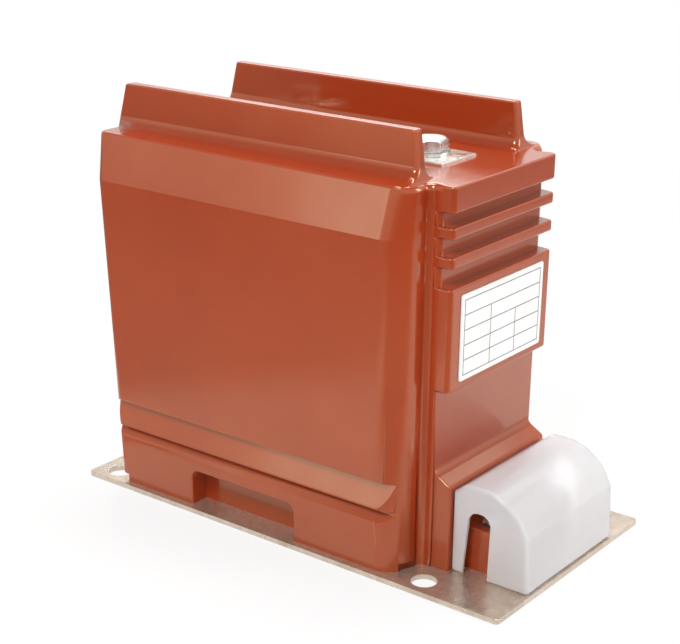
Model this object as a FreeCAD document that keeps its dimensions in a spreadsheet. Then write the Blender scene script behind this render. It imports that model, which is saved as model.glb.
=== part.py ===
import FreeCAD, Part
import math
import os
import re
import Sketcher

# Cast resin current transformer with its primary terminals on top, on a steel base plate.
# The origin is the middle of the plate's underside, +Z is up, the plate's long way is X,
# and the secondary terminals with their cover are at the +X end.

SIZES = {
    # Base plate and the four holes that a switchboard bolts it by, measured in from its edges
    "plate_long": 293.0,
    "plate_wide": 148.0,
    "plate_thick": 3.0,
    "plate_corner": 2.5,
    "hole_r": 7.0,
    "hole_left_in": 15.0,
    "hole_right_in": 53.0,
    "hole_side_in": 11.5,
    # Cast body: heights above the plate, its foot measured in from the plate's edges
    "body_high": 207.0,
    "crease_high": 181.0,
    "foot_side_in": 4.5,
    "foot_left_in": 23.5,
    "foot_right_in": 66.5,
    "top_side_in": 4.5,
    "left_lean": 8.5,
    "left_corner_r": 5.0,
    # S-shaped corners at the right, as shares of the step from the side in to the neck
    "neck_side_in": 21.5,
    "neck_out": 7.0,
    "corner_share": 0.72,
    "cove_share": 0.24,
    "neck_round": 1.2,
    # Fins along both sides of the top, measured in from its edges
    "fin_high": 24.5,
    "fin_root": 8.9,
    "fin_tip": 6.6,
    "fin_side_in": 14.8,
    "fin_side_lean": 1.5,
    "fin_left_in": 0.5,
    "fin_left_lean": 7.0,
    "fin_right_in": 5.5,
    "fin_right_lean": 3.5,
    "fin_corner_share": 0.36,
    "fin_cove": 4.0,
    "fin_cove_bite": 0.5,
    "fin_cove_fit": 0.95,
    # Right end: flange, two ribs and the pad that carries the nameplate, measured down from the top
    "end_out": 7.5,
    "end_corner": 3.0,
    "flange_thick": 13.3,
    "rib_thick": 5.8,
    "rib_one_down": 20.5,
    "rib_two_down": 35.5,
    "pad_down": 51.7,
    "pad_high": 54.8,
    "wrap_back": 2.5,
    "wrap_deep": 3.0,
    # Right foot: the ledge over the terminal space, the rim for the cover and the terminal block
    "ledge_out": 10.5,
    "ledge_side_in": 1.5,
    "ledge_lip": 48.5,
    "ledge_root": 54.5,
    "ledge_round": 1.5,
    "rim_deep": 4.0,
    "block_out": 24.5,
    "block_side": 7.5,
    "block_in": 6.2,
    "block_high": 24.5,
    "block_edge": 1.5,
    # Flutes along both sides, heights above the plate
    "flute_low": 36.5,
    "flute_high": 14.5,
    "flute_deep": 5.0,
    "flute_two_low": 28.0,
    "flute_two_high": 7.5,
    "flute_two_deep": 4.5,
    "flute_two_floor": 2.0,
    # Hand recess in each side and the room round each bolt at the foot
    "hand_left_in": 58.0,
    "hand_right_in": 70.0,
    "hand_high": 21.5,
    "hand_deep": 12.0,
    "hand_round": 5.0,
    "bolt_room_r": 16.5,
    "bolt_room_high": 4.5,
    # Primary terminals with their bolts
    "terminal_in": 27.75,
    "terminal_long": 36.0,
    "terminal_wide": 32.0,
    "terminal_proud": 1.5,
    "terminal_deep": 16.0,
    "terminal_edge": 0.6,
    "bolt_r": 5.0,
    "bolt_deep": 12.0,
    "bolt_flats": 17.0,
    "bolt_head": 6.4,
    "bolt_head_edge": 0.7,
    "washer_r": 10.5,
    "washer_thick": 2.0,
    "bolt_end_gap": 1.0,
    "thread_gap": 0.05,
    "washer_gap": 0.3,
    # Inside: primary bar, cores, secondary windings and leads
    "bar_wide": 25.0,
    "bar_thick": 12.0,
    "bar_bend": 10.0,
    "bar_high": 102.0,
    "core_pitch": 62.0,
    "core_outer": 50.0,
    "core_inner": 30.0,
    "core_wide": 30.0,
    "winding_build": 6.0,
    "winding_side": 5.0,
    "winding_round": 6.0,
    "lead_wide": 4.0,
    "lead_thick": 2.0,
    "lead_from_middle": 42.0,
    "lead_high": 20.0,
    # Secondary terminals
    "stud_out": 14.5,
    "stud_side": 9.0,
    "stud_deep": 14.0,
    "stud_proud": 0.6,
    "screw_r": 2.5,
    "screw_deep": 9.0,
    "screw_flats": 8.0,
    "screw_head": 3.5,
    "clamp_side": 11.0,
    "clamp_thick": 1.4,
    # Two screws that hold the plate to the casting, measured in from its foot, and their inserts
    "csk_end_in": 26.5,
    "csk_head_r": 6.7,
    "csk_shank_r": 4.0,
    "csk_long": 16.0,
    "csk_gap": 0.2,
    "csk_slot_wide": 1.6,
    "csk_slot_deep": 1.2,
    "insert_flats": 16.0,
    "insert_long": 18.0,
    # Earth screw in the plate under the cover
    "earth_out": 34.5,
    "earth_r": 3.0,
    "earth_flats": 10.0,
    "earth_head": 4.0,
    # Cover of the secondary terminals, measured out from the ledge
    "cover_side_in": 2.0,
    "cover_wall": 2.0,
    "cover_seat": 0.3,
    "cover_back_high": 46.5,
    "cover_shoulder_out": 8.5,
    "cover_shoulder_r": 7.0,
    "cover_top": 52.5,
    "cover_brow_out": 25.5,
    "cover_brow_r": 9.0,
    "cover_slope_out": 40.0,
    "cover_slope_high": 43.0,
    "cover_slope_r": 14.0,
    "cover_edge_out": 46.3,
    "cover_edge_high": 31.0,
    "cover_edge_r": 2.5,
    "cover_front_out": 48.0,
    "cover_bevel": 1.2,
    "opening_left_foot": 7.5,
    "opening_left_top": 11.0,
    "opening_top": 17.5,
    "opening_right_top": 24.4,
    "opening_right_foot": 23.1,
    "opening_shoulder": 30.0,
    "opening_high": 37.6,
    "opening_round": 3.6,
    "bead_r": 1.0,
    "bead_high": 22.0,
    "bead_from": 12.0,
    # Nameplate
    "name_long": 78.0,
    "name_high": 46.0,
    "name_thick": 0.8,
    "name_corner": 1.5,
}

DOC = FreeCAD.newDocument("current_transformer")
SHEET = DOC.addObject("Spreadsheet::Sheet", "Sizes")
for row, (alias, number) in enumerate(SIZES.items(), start=1):
    SHEET.set("A%d" % row, alias)
    SHEET.set("B%d" % row, str(number))
    SHEET.setAlias("B%d" % row, alias)
DOC.recompute()


def named(text):
    """Point every size's name in an expression at the sheet."""
    return re.sub(r"[a-z][a-z0-9_]+",
                  lambda word: "Sizes." * (word.group(0) in SIZES) + word.group(0), text)


def value(text):
    """Give an expression's present value."""
    return float(SHEET.evalExpression(named(text)))


def bind(thing, **sizes):
    """Tie properties of an object to expressions of the sheet's sizes."""
    for prop, text in sizes.items():
        thing.setExpression(prop, named(text))


def place(thing, x="0", y="0", z="0"):
    """Tie a sub-part's place to expressions."""
    for axis, text in (("x", x), ("y", y), ("z", z)):
        thing.setExpression(".Placement.Base." + axis, named(text))


def new_body(name):
    body = DOC.addObject("PartDesign::Body", name)
    body.AllowCompound = True
    return body


def origin_of(body, role):
    return [part for part in body.Origin.OriginFeatures if part.Role == role][0]


def new_sketch(body, name, plane="XY_Plane", level="0"):
    """Make a sketch on one of the body's own planes, lifted along that plane's normal."""
    sketch = body.newObject("Sketcher::SketchObject", name)
    sketch.AttachmentSupport = [(origin_of(body, plane), "")]
    sketch.MapMode = "FlatFace"
    sketch.setExpression(".AttachmentOffset.Base.z", named(level))
    return sketch


def tie_point(sketch, geo, pos, x, y):
    """Hold a sketch point at a place given by two expressions."""
    for kind, axis, text in (("DistanceX", -2, x), ("DistanceY", -1, y)):
        if text == "0":
            sketch.addConstraint(Sketcher.Constraint("PointOnObject", geo, pos, axis))
            continue
        index = sketch.addConstraint(Sketcher.Constraint(kind, -1, 1, geo, pos, value(text)))
        sketch.setExpression("Constraints[%d]" % index, named(text))


def tie_radius(sketch, geo, text):
    index = sketch.addConstraint(Sketcher.Constraint("Radius", geo, value(text)))
    sketch.setExpression("Constraints[%d]" % index, named(text))


def rounded_corner(before, point, after, radius):
    """Give where a corner's rounding starts and ends, its arc, and whether it turns left."""
    back = (before - point).normalize()
    ahead = (after - point).normalize()
    half = back.getAngle(ahead) / 2
    start = point + back * (radius / math.tan(half))
    end = point + ahead * (radius / math.tan(half))
    centre = point + (back + ahead).normalize() * (radius / math.sin(half))
    left_turn = back.cross(ahead).z < 0
    first, last = (start, end) if left_turn else (end, start)
    angles = [math.atan2(spot.y - centre.y, spot.x - centre.x) for spot in (first, last)]
    if angles[1] < angles[0]:
        angles[1] += 2 * math.pi
    arc = Part.ArcOfCircle(Part.Circle(centre, FreeCAD.Vector(0, 0, 1), radius), *angles)
    return start, end, arc, left_turn


def add_outline(sketch, corners):
    """Draw a closed ring of straight sides. A corner is x, y and, if it is rounded, a radius."""
    points = [FreeCAD.Vector(value(corner[0]), value(corner[1]), 0) for corner in corners]
    count = len(corners)
    rounds = {}
    for i, corner in enumerate(corners):
        if len(corner) == 3:
            rounds[i] = rounded_corner(points[i - 1], points[i], points[(i + 1) % count], value(corner[2]))
    lines = []
    for i in range(count):
        following = (i + 1) % count
        start = rounds[i][1] if i in rounds else points[i]
        end = rounds[following][0] if following in rounds else points[following]
        lines.append(sketch.addGeometry(Part.LineSegment(start, end)))
    for i, corner in enumerate(corners):
        before, after = lines[i - 1], lines[i]
        if i not in rounds:
            sketch.addConstraint(Sketcher.Constraint("Coincident", before, 2, after, 1))
            tie_point(sketch, after, 1, corner[0], corner[1])
            continue
        arc = sketch.addGeometry(rounds[i][2])
        enter, leave = (1, 2) if rounds[i][3] else (2, 1)
        sketch.addConstraint(Sketcher.Constraint("Tangent", before, 2, arc, enter))
        sketch.addConstraint(Sketcher.Constraint("Tangent", arc, leave, after, 1))
        corner_point = sketch.addGeometry(Part.Point(points[i]), True)
        sketch.addConstraint(Sketcher.Constraint("PointOnObject", corner_point, 1, before))
        sketch.addConstraint(Sketcher.Constraint("PointOnObject", corner_point, 1, after))
        tie_point(sketch, corner_point, 1, corner[0], corner[1])
        tie_radius(sketch, arc, corner[2])


def add_circle(sketch, x, y, radius):
    circle = Part.Circle(FreeCAD.Vector(value(x), value(y), 0), FreeCAD.Vector(0, 0, 1), value(radius))
    geo = sketch.addGeometry(circle)
    tie_point(sketch, geo, 3, x, y)
    tie_radius(sketch, geo, radius)


def rectangle(left, right, low, high, *radius):
    """Corners of an upright rectangle, anticlockwise from its low left."""
    return [(left, low) + radius, (right, low) + radius, (right, high) + radius, (left, high) + radius]


def hexagon(flats):
    """Corners of a hexagon about the sketch's origin, from its width across flats."""
    turns = [(math.cos(math.radians(a)), math.sin(math.radians(a))) for a in range(30, 390, 60)]
    return [("%s / sqrt(3) * %.9f" % (flats, c), "%s / sqrt(3) * %.9f" % (flats, s)) for c, s in turns]


def feature(body, kind, name, **settings):
    made = body.newObject("PartDesign::" + kind, name)
    for prop, setting in settings.items():
        setattr(made, prop, setting)
    body.Tip = made
    return made


def pad(body, name, sketch, length, both_ways=False, reverse=False, kind="Pad"):
    made = feature(body, kind, name, Profile=sketch, Reversed=reverse)
    if both_ways:
        made.SideType = "Symmetric"
    bind(made, Length=length)
    return made


def pocket(body, name, sketch, length, both_ways=False, reverse=False):
    return pad(body, name, sketch, length, both_ways, reverse, "Pocket")


def loft(body, name, sketches):
    return feature(body, "AdditiveLoft", name, Profile=sketches[0], Sections=sketches[1:], Ruled=True)


def revolve(body, name, sketch, kind="Revolution"):
    return feature(body, kind, name, Profile=sketch, ReferenceAxis=(sketch, ["V_Axis"]), Angle=360.0)


def mirror(body, name, originals, plane="XZ_Plane"):
    return feature(body, "Mirrored", name, Originals=originals, MirrorPlane=(origin_of(body, plane), [""]))


def repeat(body, name, originals, axis, length, count):
    """Repeat features along one of the body's axes, over a whole length."""
    made = feature(body, "LinearPattern", name, Originals=originals, Direction=(origin_of(body, axis), [""]),
                   Occurrences=count)
    bind(made, Length=length)


def edges_where(shape, test):
    """Names of the edges whose middle point and box pass a test."""
    found = []
    for number, edge in enumerate(shape.Edges, start=1):
        middle = edge.valueAt((edge.FirstParameter + edge.LastParameter) / 2)
        if test(middle, edge):
            found.append("Edge%d" % number)
    return found


def soften(body, name, test, size, kind="Fillet"):
    """Round or chamfer the edges of the body so far that pass a test."""
    DOC.recompute()
    base = body.Tip
    edges = edges_where(base.Shape, test)
    made = feature(body, kind, name, Base=(base, edges))
    bind(made, **{"Radius" if kind == "Fillet" else "Size": size})
    return made


def near(number, text, slack=0.05):
    return abs(number - value(text)) < slack


TOP = "(plate_thick + body_high)"
CREASE = "(plate_thick + crease_high)"
BAR = "(plate_thick + bar_high)"
BLOCK = "(plate_thick + block_high)"
SIDE = "(plate_wide / 2 - foot_side_in)"
LEFT = "(plate_long / 2 - foot_left_in)"
RIGHT = "(plate_long / 2 - foot_right_in)"
NECK_SIDE = "(%s - neck_side_in)" % SIDE
NECK = "(%s + neck_out)" % RIGHT
END = "(%s + end_out)" % NECK
WRAP = "(%s - wrap_back)" % NECK
FIN_LEFT = "(%s + left_lean - fin_left_in)" % LEFT
FIN_RIGHT = "(%s - fin_right_in)" % RIGHT
LEDGE = "(%s + ledge_out)" % NECK
LEDGE_SIDE = "(%s - ledge_side_in)" % NECK_SIDE
COVER_SIDE = "(%s - cover_side_in)" % LEDGE_SIDE
RIM_SIDE = "(%s - cover_wall - cover_seat)" % COVER_SIDE
BLOCK_SIDE = "(%s - block_in)" % RIM_SIDE
STUD_PITCH = "((%s - block_side - stud_side / 2) / 1.5)" % BLOCK_SIDE
STUD_X = "(%s + stud_out)" % LEDGE
EARTH_X = "(%s + earth_out)" % LEDGE
PRIMARY_MID = "((%s - %s) / 2)" % (FIN_RIGHT, FIN_LEFT)
PRIMARY_ENDS = {"-": "(terminal_in - %s)" % FIN_LEFT, "+": "(%s - terminal_in)" % FIN_RIGHT}
PRIMARY_PITCH = "(%s + %s - 2 * terminal_in)" % (FIN_LEFT, FIN_RIGHT)
WINDING_HALF = "(core_wide / 2 + winding_side)"
INSERT_BORE = "(csk_gap + csk_long - plate_thick + bolt_end_gap)"
BOLT_HOLES = ("(hole_left_in - hole_right_in) / 2", "(plate_long - hole_left_in - hole_right_in)",
              "(plate_wide - 2 * hole_side_in)")
CSK_ENDS = ("(csk_end_in - %s)" % LEFT, "(%s - csk_end_in)" % RIGHT)


def four_circles(sketch, middle_x, pitch_x, pitch_y, radius):
    """Four circles at the corners of a rectangle."""
    for x_sign in ("-", "+"):
        for y_sign in ("-", "+"):
            add_circle(sketch, "%s %s %s / 2" % (middle_x, x_sign, pitch_x),
                       "%s%s / 2" % (y_sign, pitch_y), radius)


def add_hex_screw(body, name, radius, length, flats, head):
    """Hexagon head standing on the body's XY plane, with its shank below."""
    outline = new_sketch(body, name + "_flats")
    add_outline(outline, hexagon(flats))
    shank = new_sketch(body, name + "_round")
    add_circle(shank, "0", "0", radius)
    return [pad(body, name + "_head", outline, head),
            pad(body, name + "_shank", shank, length, reverse=True)]


def make_base_plate():
    """Steel plate with the mounting holes, the countersunk holes for the casting and the earth hole."""
    body = new_body("base_plate")
    outline = new_sketch(body, "plate_outline")
    add_outline(outline, rectangle("-plate_long / 2", "plate_long / 2", "-plate_wide / 2", "plate_wide / 2",
                                   "plate_corner"))
    pad(body, "plate_sheet", outline, "plate_thick")
    holes = new_sketch(body, "plate_holes")
    four_circles(holes, *BOLT_HOLES, "hole_r")
    for x in CSK_ENDS:
        add_circle(holes, x, "0", "csk_shank_r + csk_gap")
    add_circle(holes, EARTH_X, "0", "earth_r + thread_gap")
    pocket(body, "plate_drilled", holes, "plate_thick", reverse=True)

    def round_screw_hole(at, edge):
        return (near(at.z, "0") and edge.Curve.TypeId == "Part::GeomCircle"
                and near(edge.Curve.Radius, "csk_shank_r + csk_gap"))

    soften(body, "plate_countersunk", round_screw_hole, "csk_head_r - csk_shank_r", "Chamfer")
    return body


def waist_outline(sketch, left, half):
    """The casting in plan: panels along both sides, and S-shaped corners down to the neck at the right."""
    step = "(%s - %s)" % (half, NECK_SIDE)
    corner = "corner_share * " + step
    cove = "min(cove_share * %s; neck_out - 1.5 * neck_round)" % step
    near_side = [("-" + left, "-" + half, "left_corner_r"), (RIGHT, "-" + half, corner),
                 (RIGHT, "-" + NECK_SIDE, cove), (NECK, "-" + NECK_SIDE, "neck_round")]
    far_side = [(NECK, NECK_SIDE, "neck_round"), (RIGHT, NECK_SIDE, cove), (RIGHT, half, corner),
                ("-" + left, half, "left_corner_r")]
    add_outline(sketch, near_side + far_side)


def add_waist(body):
    """The tall block: upright sides that lean in above the crease, and a left end that leans out."""
    levels = [("plate_thick", LEFT, SIDE),
              (CREASE, "(%s + left_lean * crease_high / body_high)" % LEFT, SIDE),
              (TOP, "(%s + left_lean)" % LEFT, "(%s - top_side_in)" % SIDE)]
    sketches = []
    for i, (level, left, half) in enumerate(levels):
        sketches.append(new_sketch(body, "waist_outline_%d" % i, level=level))
        waist_outline(sketches[-1], left, half)
    loft(body, "waist", sketches)


def add_right_end(body):
    """Flange, ribs and nameplate pad across the neck, with gaps between them that wrap round it."""
    shelves = [("flange", "0", "flange_thick"), ("rib_one", "rib_one_down", "rib_thick"),
               ("rib_two", "rib_two_down", "rib_thick"), ("name_pad", "pad_down", "pad_high")]
    inner = WRAP + " - wrap_deep"
    for name, down, thick in shelves:
        outline = new_sketch(body, name + "_outline", level="%s - %s - %s" % (TOP, down, thick))
        add_outline(outline, [(inner, "-" + NECK_SIDE), (END, "-" + NECK_SIDE, "end_corner"),
                              (END, NECK_SIDE, "end_corner"), (inner, NECK_SIDE)])
        pad(body, name, outline, thick)
    for (above, above_down, above_thick), (below, below_down, below_thick) in zip(shelves, shelves[1:]):
        gap = new_sketch(body, "gap_under_%s_outline" % above, level="%s - %s" % (TOP, below_down))
        for side in ("-", ""):
            add_outline(gap, rectangle(WRAP, END, "%s%s - wrap_deep" % (side, NECK_SIDE),
                                       "%s%s + wrap_deep" % (side, NECK_SIDE)))
        gap_high = "%s - %s - %s" % (below_down, above_down, above_thick)
        pocket(body, "gap_under_" + above, gap, gap_high, reverse=True)


def add_right_foot(body):
    """Ledge over the secondary terminals, the rim that the cover slips over and the terminal block."""
    ledge = new_sketch(body, "ledge_outline", "XZ_Plane")
    root = RIGHT + " + neck_round"
    add_outline(ledge, [(root, "plate_thick"), (LEDGE, "plate_thick"),
                        (LEDGE, "plate_thick + ledge_lip", "ledge_round"),
                        (NECK, "plate_thick + ledge_root", "ledge_round"),
                        (root, "plate_thick + ledge_root")])
    pad(body, "ledge", ledge, "2 * " + LEDGE_SIDE, both_ways=True)
    rim = new_sketch(body, "rim_outline", level="plate_thick")
    add_outline(rim, rectangle(LEDGE + " - rim_deep", LEDGE + " + rim_deep", "-" + RIM_SIDE, RIM_SIDE))
    pad(body, "rim", rim, "cover_back_high - cover_wall - cover_seat")
    grooves = new_sketch(body, "bead_grooves", level="plate_thick + bead_from - cover_seat")
    for sign in ("-", "+"):
        add_circle(grooves, LEDGE + " + rim_deep / 2", "%s(%s - cover_wall)" % (sign, COVER_SIDE),
                   "bead_r + cover_seat")
    pocket(body, "rim_grooved", grooves, "bead_high + 2 * cover_seat", reverse=True)
    block = new_sketch(body, "block_outline", level="plate_thick")
    add_outline(block, rectangle(LEDGE, LEDGE + " + block_out", "-" + BLOCK_SIDE, BLOCK_SIDE))
    pad(body, "terminal_block", block, "block_high")

    def outer_edge(at, edge):
        return (near(at.z, BLOCK) and at.x > value(LEDGE + " + rim_deep")
                or near(at.x, LEDGE + " + block_out") and near(abs(at.y), BLOCK_SIDE))

    soften(body, "terminal_block_edged", outer_edge, "block_edge", "Chamfer")


def add_flutes(body):
    """Two flutes along each side near the foot, each under an overhanging edge."""
    outlines = new_sketch(body, "flute_outlines", "YZ_Plane")
    out = "-%s - flute_deep" % SIDE
    low, high = "plate_thick + flute_low", "plate_thick + flute_low + flute_high"
    add_outline(outlines, [(out, low), ("-" + SIDE, low), ("flute_deep - " + SIDE, high), (out, high)])
    low, high = "plate_thick + flute_two_low", "plate_thick + flute_two_low + flute_two_high"
    add_outline(outlines, [(out, low), ("-" + SIDE, low),
                           ("flute_two_deep - " + SIDE, high + " - flute_two_floor", "flute_two_floor"),
                           ("flute_two_deep - " + SIDE, high), (out, high)])
    flutes = pocket(body, "flutes", outlines, "2 * plate_long", both_ways=True)
    mirror(body, "flutes_far", [flutes])


def add_hand_recesses(body):
    """A recess in the middle of each side to lift the transformer by."""
    outline = new_sketch(body, "hand_outline", "XZ_Plane", SIDE + " - hand_deep")
    left, right = "(hand_left_in - %s)" % LEFT, "(%s - hand_right_in)" % RIGHT
    add_outline(outline, [(left, "plate_thick"), (right, "plate_thick"),
                          (right, "plate_thick + hand_high", "hand_round"),
                          (left, "plate_thick + hand_high", "hand_round")])
    recess = pocket(body, "hand_recess", outline, "2 * hand_deep", reverse=True)
    mirror(body, "hand_recess_far", [recess])


def add_bolt_rooms(body):
    """Round clearances in the foot for the washers of the switchboard's bolts."""
    outline = new_sketch(body, "bolt_room_outlines", level="plate_thick")
    four_circles(outline, *BOLT_HOLES, "bolt_room_r")
    pocket(body, "bolt_rooms", outline, "bolt_room_high", reverse=True)


def add_fins(body):
    """A tapering fin along each side of the top, with a cove down to the top on both its faces."""
    outer = "(%s - top_side_in - fin_side_in)" % SIDE
    levels = [(TOP, FIN_LEFT, FIN_RIGHT, outer, "fin_root"),
              (TOP + " + fin_high", "(%s - fin_left_lean)" % FIN_LEFT, "(%s - fin_right_lean)" % FIN_RIGHT,
               "(%s - fin_side_lean)" % outer, "fin_tip")]
    sketches = []
    for i, (level, left, right, out, thick) in enumerate(levels):
        sketches.append(new_sketch(body, "fin_outline_%d" % i, level=level))
        add_outline(sketches[-1], rectangle("-" + left, right, "-" + out, "%s - %s" % (thick, out),
                                            "fin_corner_share * " + thick))
    fin = loft(body, "fin", sketches)
    coves = [fin]
    for name, root, sign, lean in (("cove_out", "(-%s)" % outer, "-", "fin_side_lean"),
                                   ("cove_in", "(fin_root - %s)" % outer, "+",
                                    "(fin_side_lean - fin_root + fin_tip)")):
        outline = new_sketch(body, name + "_outline", "YZ_Plane", "fin_root - " + FIN_LEFT)
        foot = "%s %s fin_cove" % (root, sign)
        inside = "%s %s -fin_cove_bite" % (root, sign)
        below = TOP + " - fin_cove_bite"
        up = TOP + " + fin_cove"
        add_outline(outline, [(foot, below), (foot, TOP), (root, TOP, "fin_cove * fin_cove_fit"),
                              ("%s + %s * fin_cove / fin_high" % (root, lean), up),
                              (inside, up), (inside, below)])
        coves.append(pad(body, name, outline, "%s + %s - 2 * fin_root" % (FIN_LEFT, FIN_RIGHT)))
    mirror(body, "fins_far", coves)


def make_casting():
    """The resin casting before the pieces cast into it are taken out of it."""
    body = new_body("casting")
    add_waist(body)
    add_right_end(body)
    add_right_foot(body)
    add_flutes(body)
    add_hand_recesses(body)
    add_bolt_rooms(body)
    add_fins(body)
    return body


def make_primary_terminal(name, side):
    """Flat copper block, a little proud of the resin, with a threaded hole for its bolt."""
    body = new_body(name)
    outline = new_sketch(body, name + "_outline")
    half_long, half_wide = "terminal_long / 2", "terminal_wide / 2"
    add_outline(outline, rectangle("-" + half_long, half_long, "-" + half_wide, half_wide))
    pad(body, name + "_block", outline, "terminal_deep")
    hole = new_sketch(body, name + "_hole", level="terminal_deep - bolt_deep")
    add_circle(hole, "0", "0", "bolt_r + thread_gap")
    pocket(body, name + "_tapped", hole, "bolt_deep", reverse=True)

    def outer_top_edge(at, edge):
        return near(at.z, "terminal_deep") and math.hypot(at.x, at.y) > value("2 * bolt_r")

    soften(body, name + "_edged", outer_top_edge, "terminal_edge", "Chamfer")
    place(body, PRIMARY_ENDS[side], "0", TOP + " + terminal_proud - terminal_deep")
    return body


def make_primary_washers():
    body = new_body("primary_washers")
    ring = new_sketch(body, "primary_washer_ring")
    add_circle(ring, "0", "0", "washer_r")
    add_circle(ring, "0", "0", "bolt_r + washer_gap")
    washer = pad(body, "primary_washer", ring, "washer_thick")
    repeat(body, "primary_washer_pair", [washer], "X_Axis", PRIMARY_PITCH, 2)
    place(body, PRIMARY_ENDS["-"], "0", TOP + " + terminal_proud")
    return body


def make_primary_bolts():
    """Hexagon bolts, their heads chamfered on top, standing on the washers."""
    body = new_body("primary_bolts")
    shank_long = "bolt_deep + washer_thick - bolt_end_gap"
    parts = add_hex_screw(body, "primary_bolt", "bolt_r", shank_long, "bolt_flats", "bolt_head")
    cut = new_sketch(body, "primary_bolt_cut", "XZ_Plane")
    corner = "bolt_flats / sqrt(3)"
    add_outline(cut, [(corner + " + bolt_head_edge", "bolt_head - bolt_head_edge * 2"),
                      (corner + " + bolt_head_edge", "bolt_head + bolt_head_edge"),
                      ("bolt_flats / 2 - bolt_head_edge * 2", "bolt_head + bolt_head_edge")])
    parts.append(revolve(body, "primary_bolt_chamfer", cut, "Groove"))
    repeat(body, "primary_bolt_pair", parts, "X_Axis", PRIMARY_PITCH, 2)
    place(body, PRIMARY_ENDS["-"], "0", TOP + " + terminal_proud + washer_thick")
    return body


def make_primary_bar():
    """Flat copper bar from one primary terminal down, through both cores and up to the other."""
    body = new_body("primary_bar")
    outline = new_sketch(body, "primary_bar_outline", "XZ_Plane")
    left, right = PRIMARY_ENDS["-"], PRIMARY_ENDS["+"]
    half, top = "bar_thick / 2", TOP + " + terminal_proud - terminal_deep"
    under, over = "%s - %s" % (BAR, half), "%s + %s" % (BAR, half)
    outer_bend = "bar_bend + bar_thick"
    add_outline(outline, [("%s - %s" % (left, half), top), ("%s - %s" % (left, half), under, outer_bend),
                          ("%s + %s" % (right, half), under, outer_bend), ("%s + %s" % (right, half), top),
                          ("%s - %s" % (right, half), top), ("%s - %s" % (right, half), over, "bar_bend"),
                          ("%s + %s" % (left, half), over, "bar_bend"), ("%s + %s" % (left, half), top)])
    pad(body, "primary_bar_bent", outline, "bar_wide", both_ways=True)
    return body


def frame_outline(sketch, outer, inner, *rounding):
    """A square ring about the sketch's origin, with its outer corners rounded if a radius is given."""
    add_outline(sketch, rectangle("-" + outer, outer, "-" + outer, outer, *rounding))
    add_outline(sketch, rectangle("-" + inner, inner, "-" + inner, inner))


def make_core(name, side):
    """Square frame of stacked silicon steel sheets round the primary bar."""
    body = new_body(name)
    outline = new_sketch(body, name + "_outline", "YZ_Plane")
    frame_outline(outline, "core_outer", "core_inner")
    pad(body, name + "_stack", outline, "core_wide", both_ways=True)
    place(body, "%s %s core_pitch / 2" % (PRIMARY_MID, side), "0", BAR)
    return body


def make_winding(name, side):
    """Insulated secondary winding, wrapped all round its core."""
    body = new_body(name)
    outline = new_sketch(body, name + "_outline", "YZ_Plane")
    frame_outline(outline, "(core_outer + winding_build)", "(core_inner - winding_build)", "winding_round")
    pad(body, name + "_wrap", outline, "2 * " + WINDING_HALF, both_ways=True)
    room = new_sketch(body, name + "_core_room", "YZ_Plane")
    frame_outline(room, "core_outer", "core_inner")
    pocket(body, name + "_hollow", room, "core_wide", both_ways=True)
    place(body, "%s %s core_pitch / 2" % (PRIMARY_MID, side), "0", BAR)
    return body


def make_leads(name, side, row):
    """Two flat leads of one winding, out of its face, down and along to their studs."""
    body = new_body(name)
    aside = "%s * %s" % (row, STUD_PITCH)
    outline = new_sketch(body, name + "_outline", "XZ_Plane", aside)
    start = "%s %s core_pitch / 2 + %s" % (PRIMARY_MID, side, WINDING_HALF)
    left = "%s + core_pitch / 2 - %s - lead_thick / 2" % (start, WINDING_HALF)
    right, stud = left + " + lead_thick", STUD_X + " - stud_side / 2"
    high, low = BAR + " - lead_from_middle", "plate_thick + lead_high"
    add_outline(outline, [(start, high), (left, high), (left, low), (stud, low),
                          (stud, low + " + lead_thick"), (right, low + " + lead_thick"),
                          (right, high + " + lead_thick"), (start, high + " + lead_thick")])
    lead = pad(body, name + "_run", outline, "lead_wide", both_ways=True)
    mirror(body, name + "_pair", [lead])
    return body


def in_stud_row(body, z):
    """Put a group's first copy at the near end of the row of secondary terminals."""
    place(body, STUD_X, "-1.5 * " + STUD_PITCH, z)


def make_secondary_studs():
    """Brass blocks cast into the terminal block, each tapped for its screw."""
    body = new_body("secondary_studs")
    outline = new_sketch(body, "stud_outline")
    add_outline(outline, rectangle("-stud_side / 2", "stud_side / 2", "-stud_side / 2", "stud_side / 2"))
    block = pad(body, "stud_block", outline, "stud_deep")
    hole = new_sketch(body, "stud_hole", level="stud_deep - screw_deep")
    add_circle(hole, "0", "0", "screw_r + thread_gap")
    tapped = pocket(body, "stud_tapped", hole, "screw_deep", reverse=True)
    repeat(body, "stud_row", [block, tapped], "Y_Axis", "3 * " + STUD_PITCH, 4)
    in_stud_row(body, BLOCK + " + stud_proud - stud_deep")
    return body


def make_secondary_clamps():
    """Square clamping washers that hold the switchboard's wires."""
    body = new_body("secondary_clamps")
    outline = new_sketch(body, "clamp_outline")
    add_outline(outline, rectangle("-clamp_side / 2", "clamp_side / 2", "-clamp_side / 2", "clamp_side / 2"))
    add_circle(outline, "0", "0", "screw_r + washer_gap")
    clamp = pad(body, "clamp", outline, "clamp_thick")
    repeat(body, "clamp_row", [clamp], "Y_Axis", "3 * " + STUD_PITCH, 4)
    in_stud_row(body, BLOCK + " + stud_proud")
    return body


def make_secondary_screws():
    body = new_body("secondary_screws")
    shank_long = "clamp_thick + screw_deep - bolt_end_gap"
    parts = add_hex_screw(body, "secondary_screw", "screw_r", shank_long, "screw_flats", "screw_head")
    repeat(body, "secondary_screw_row", parts, "Y_Axis", "3 * " + STUD_PITCH, 4)
    in_stud_row(body, BLOCK + " + stud_proud + clamp_thick")
    return body


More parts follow.
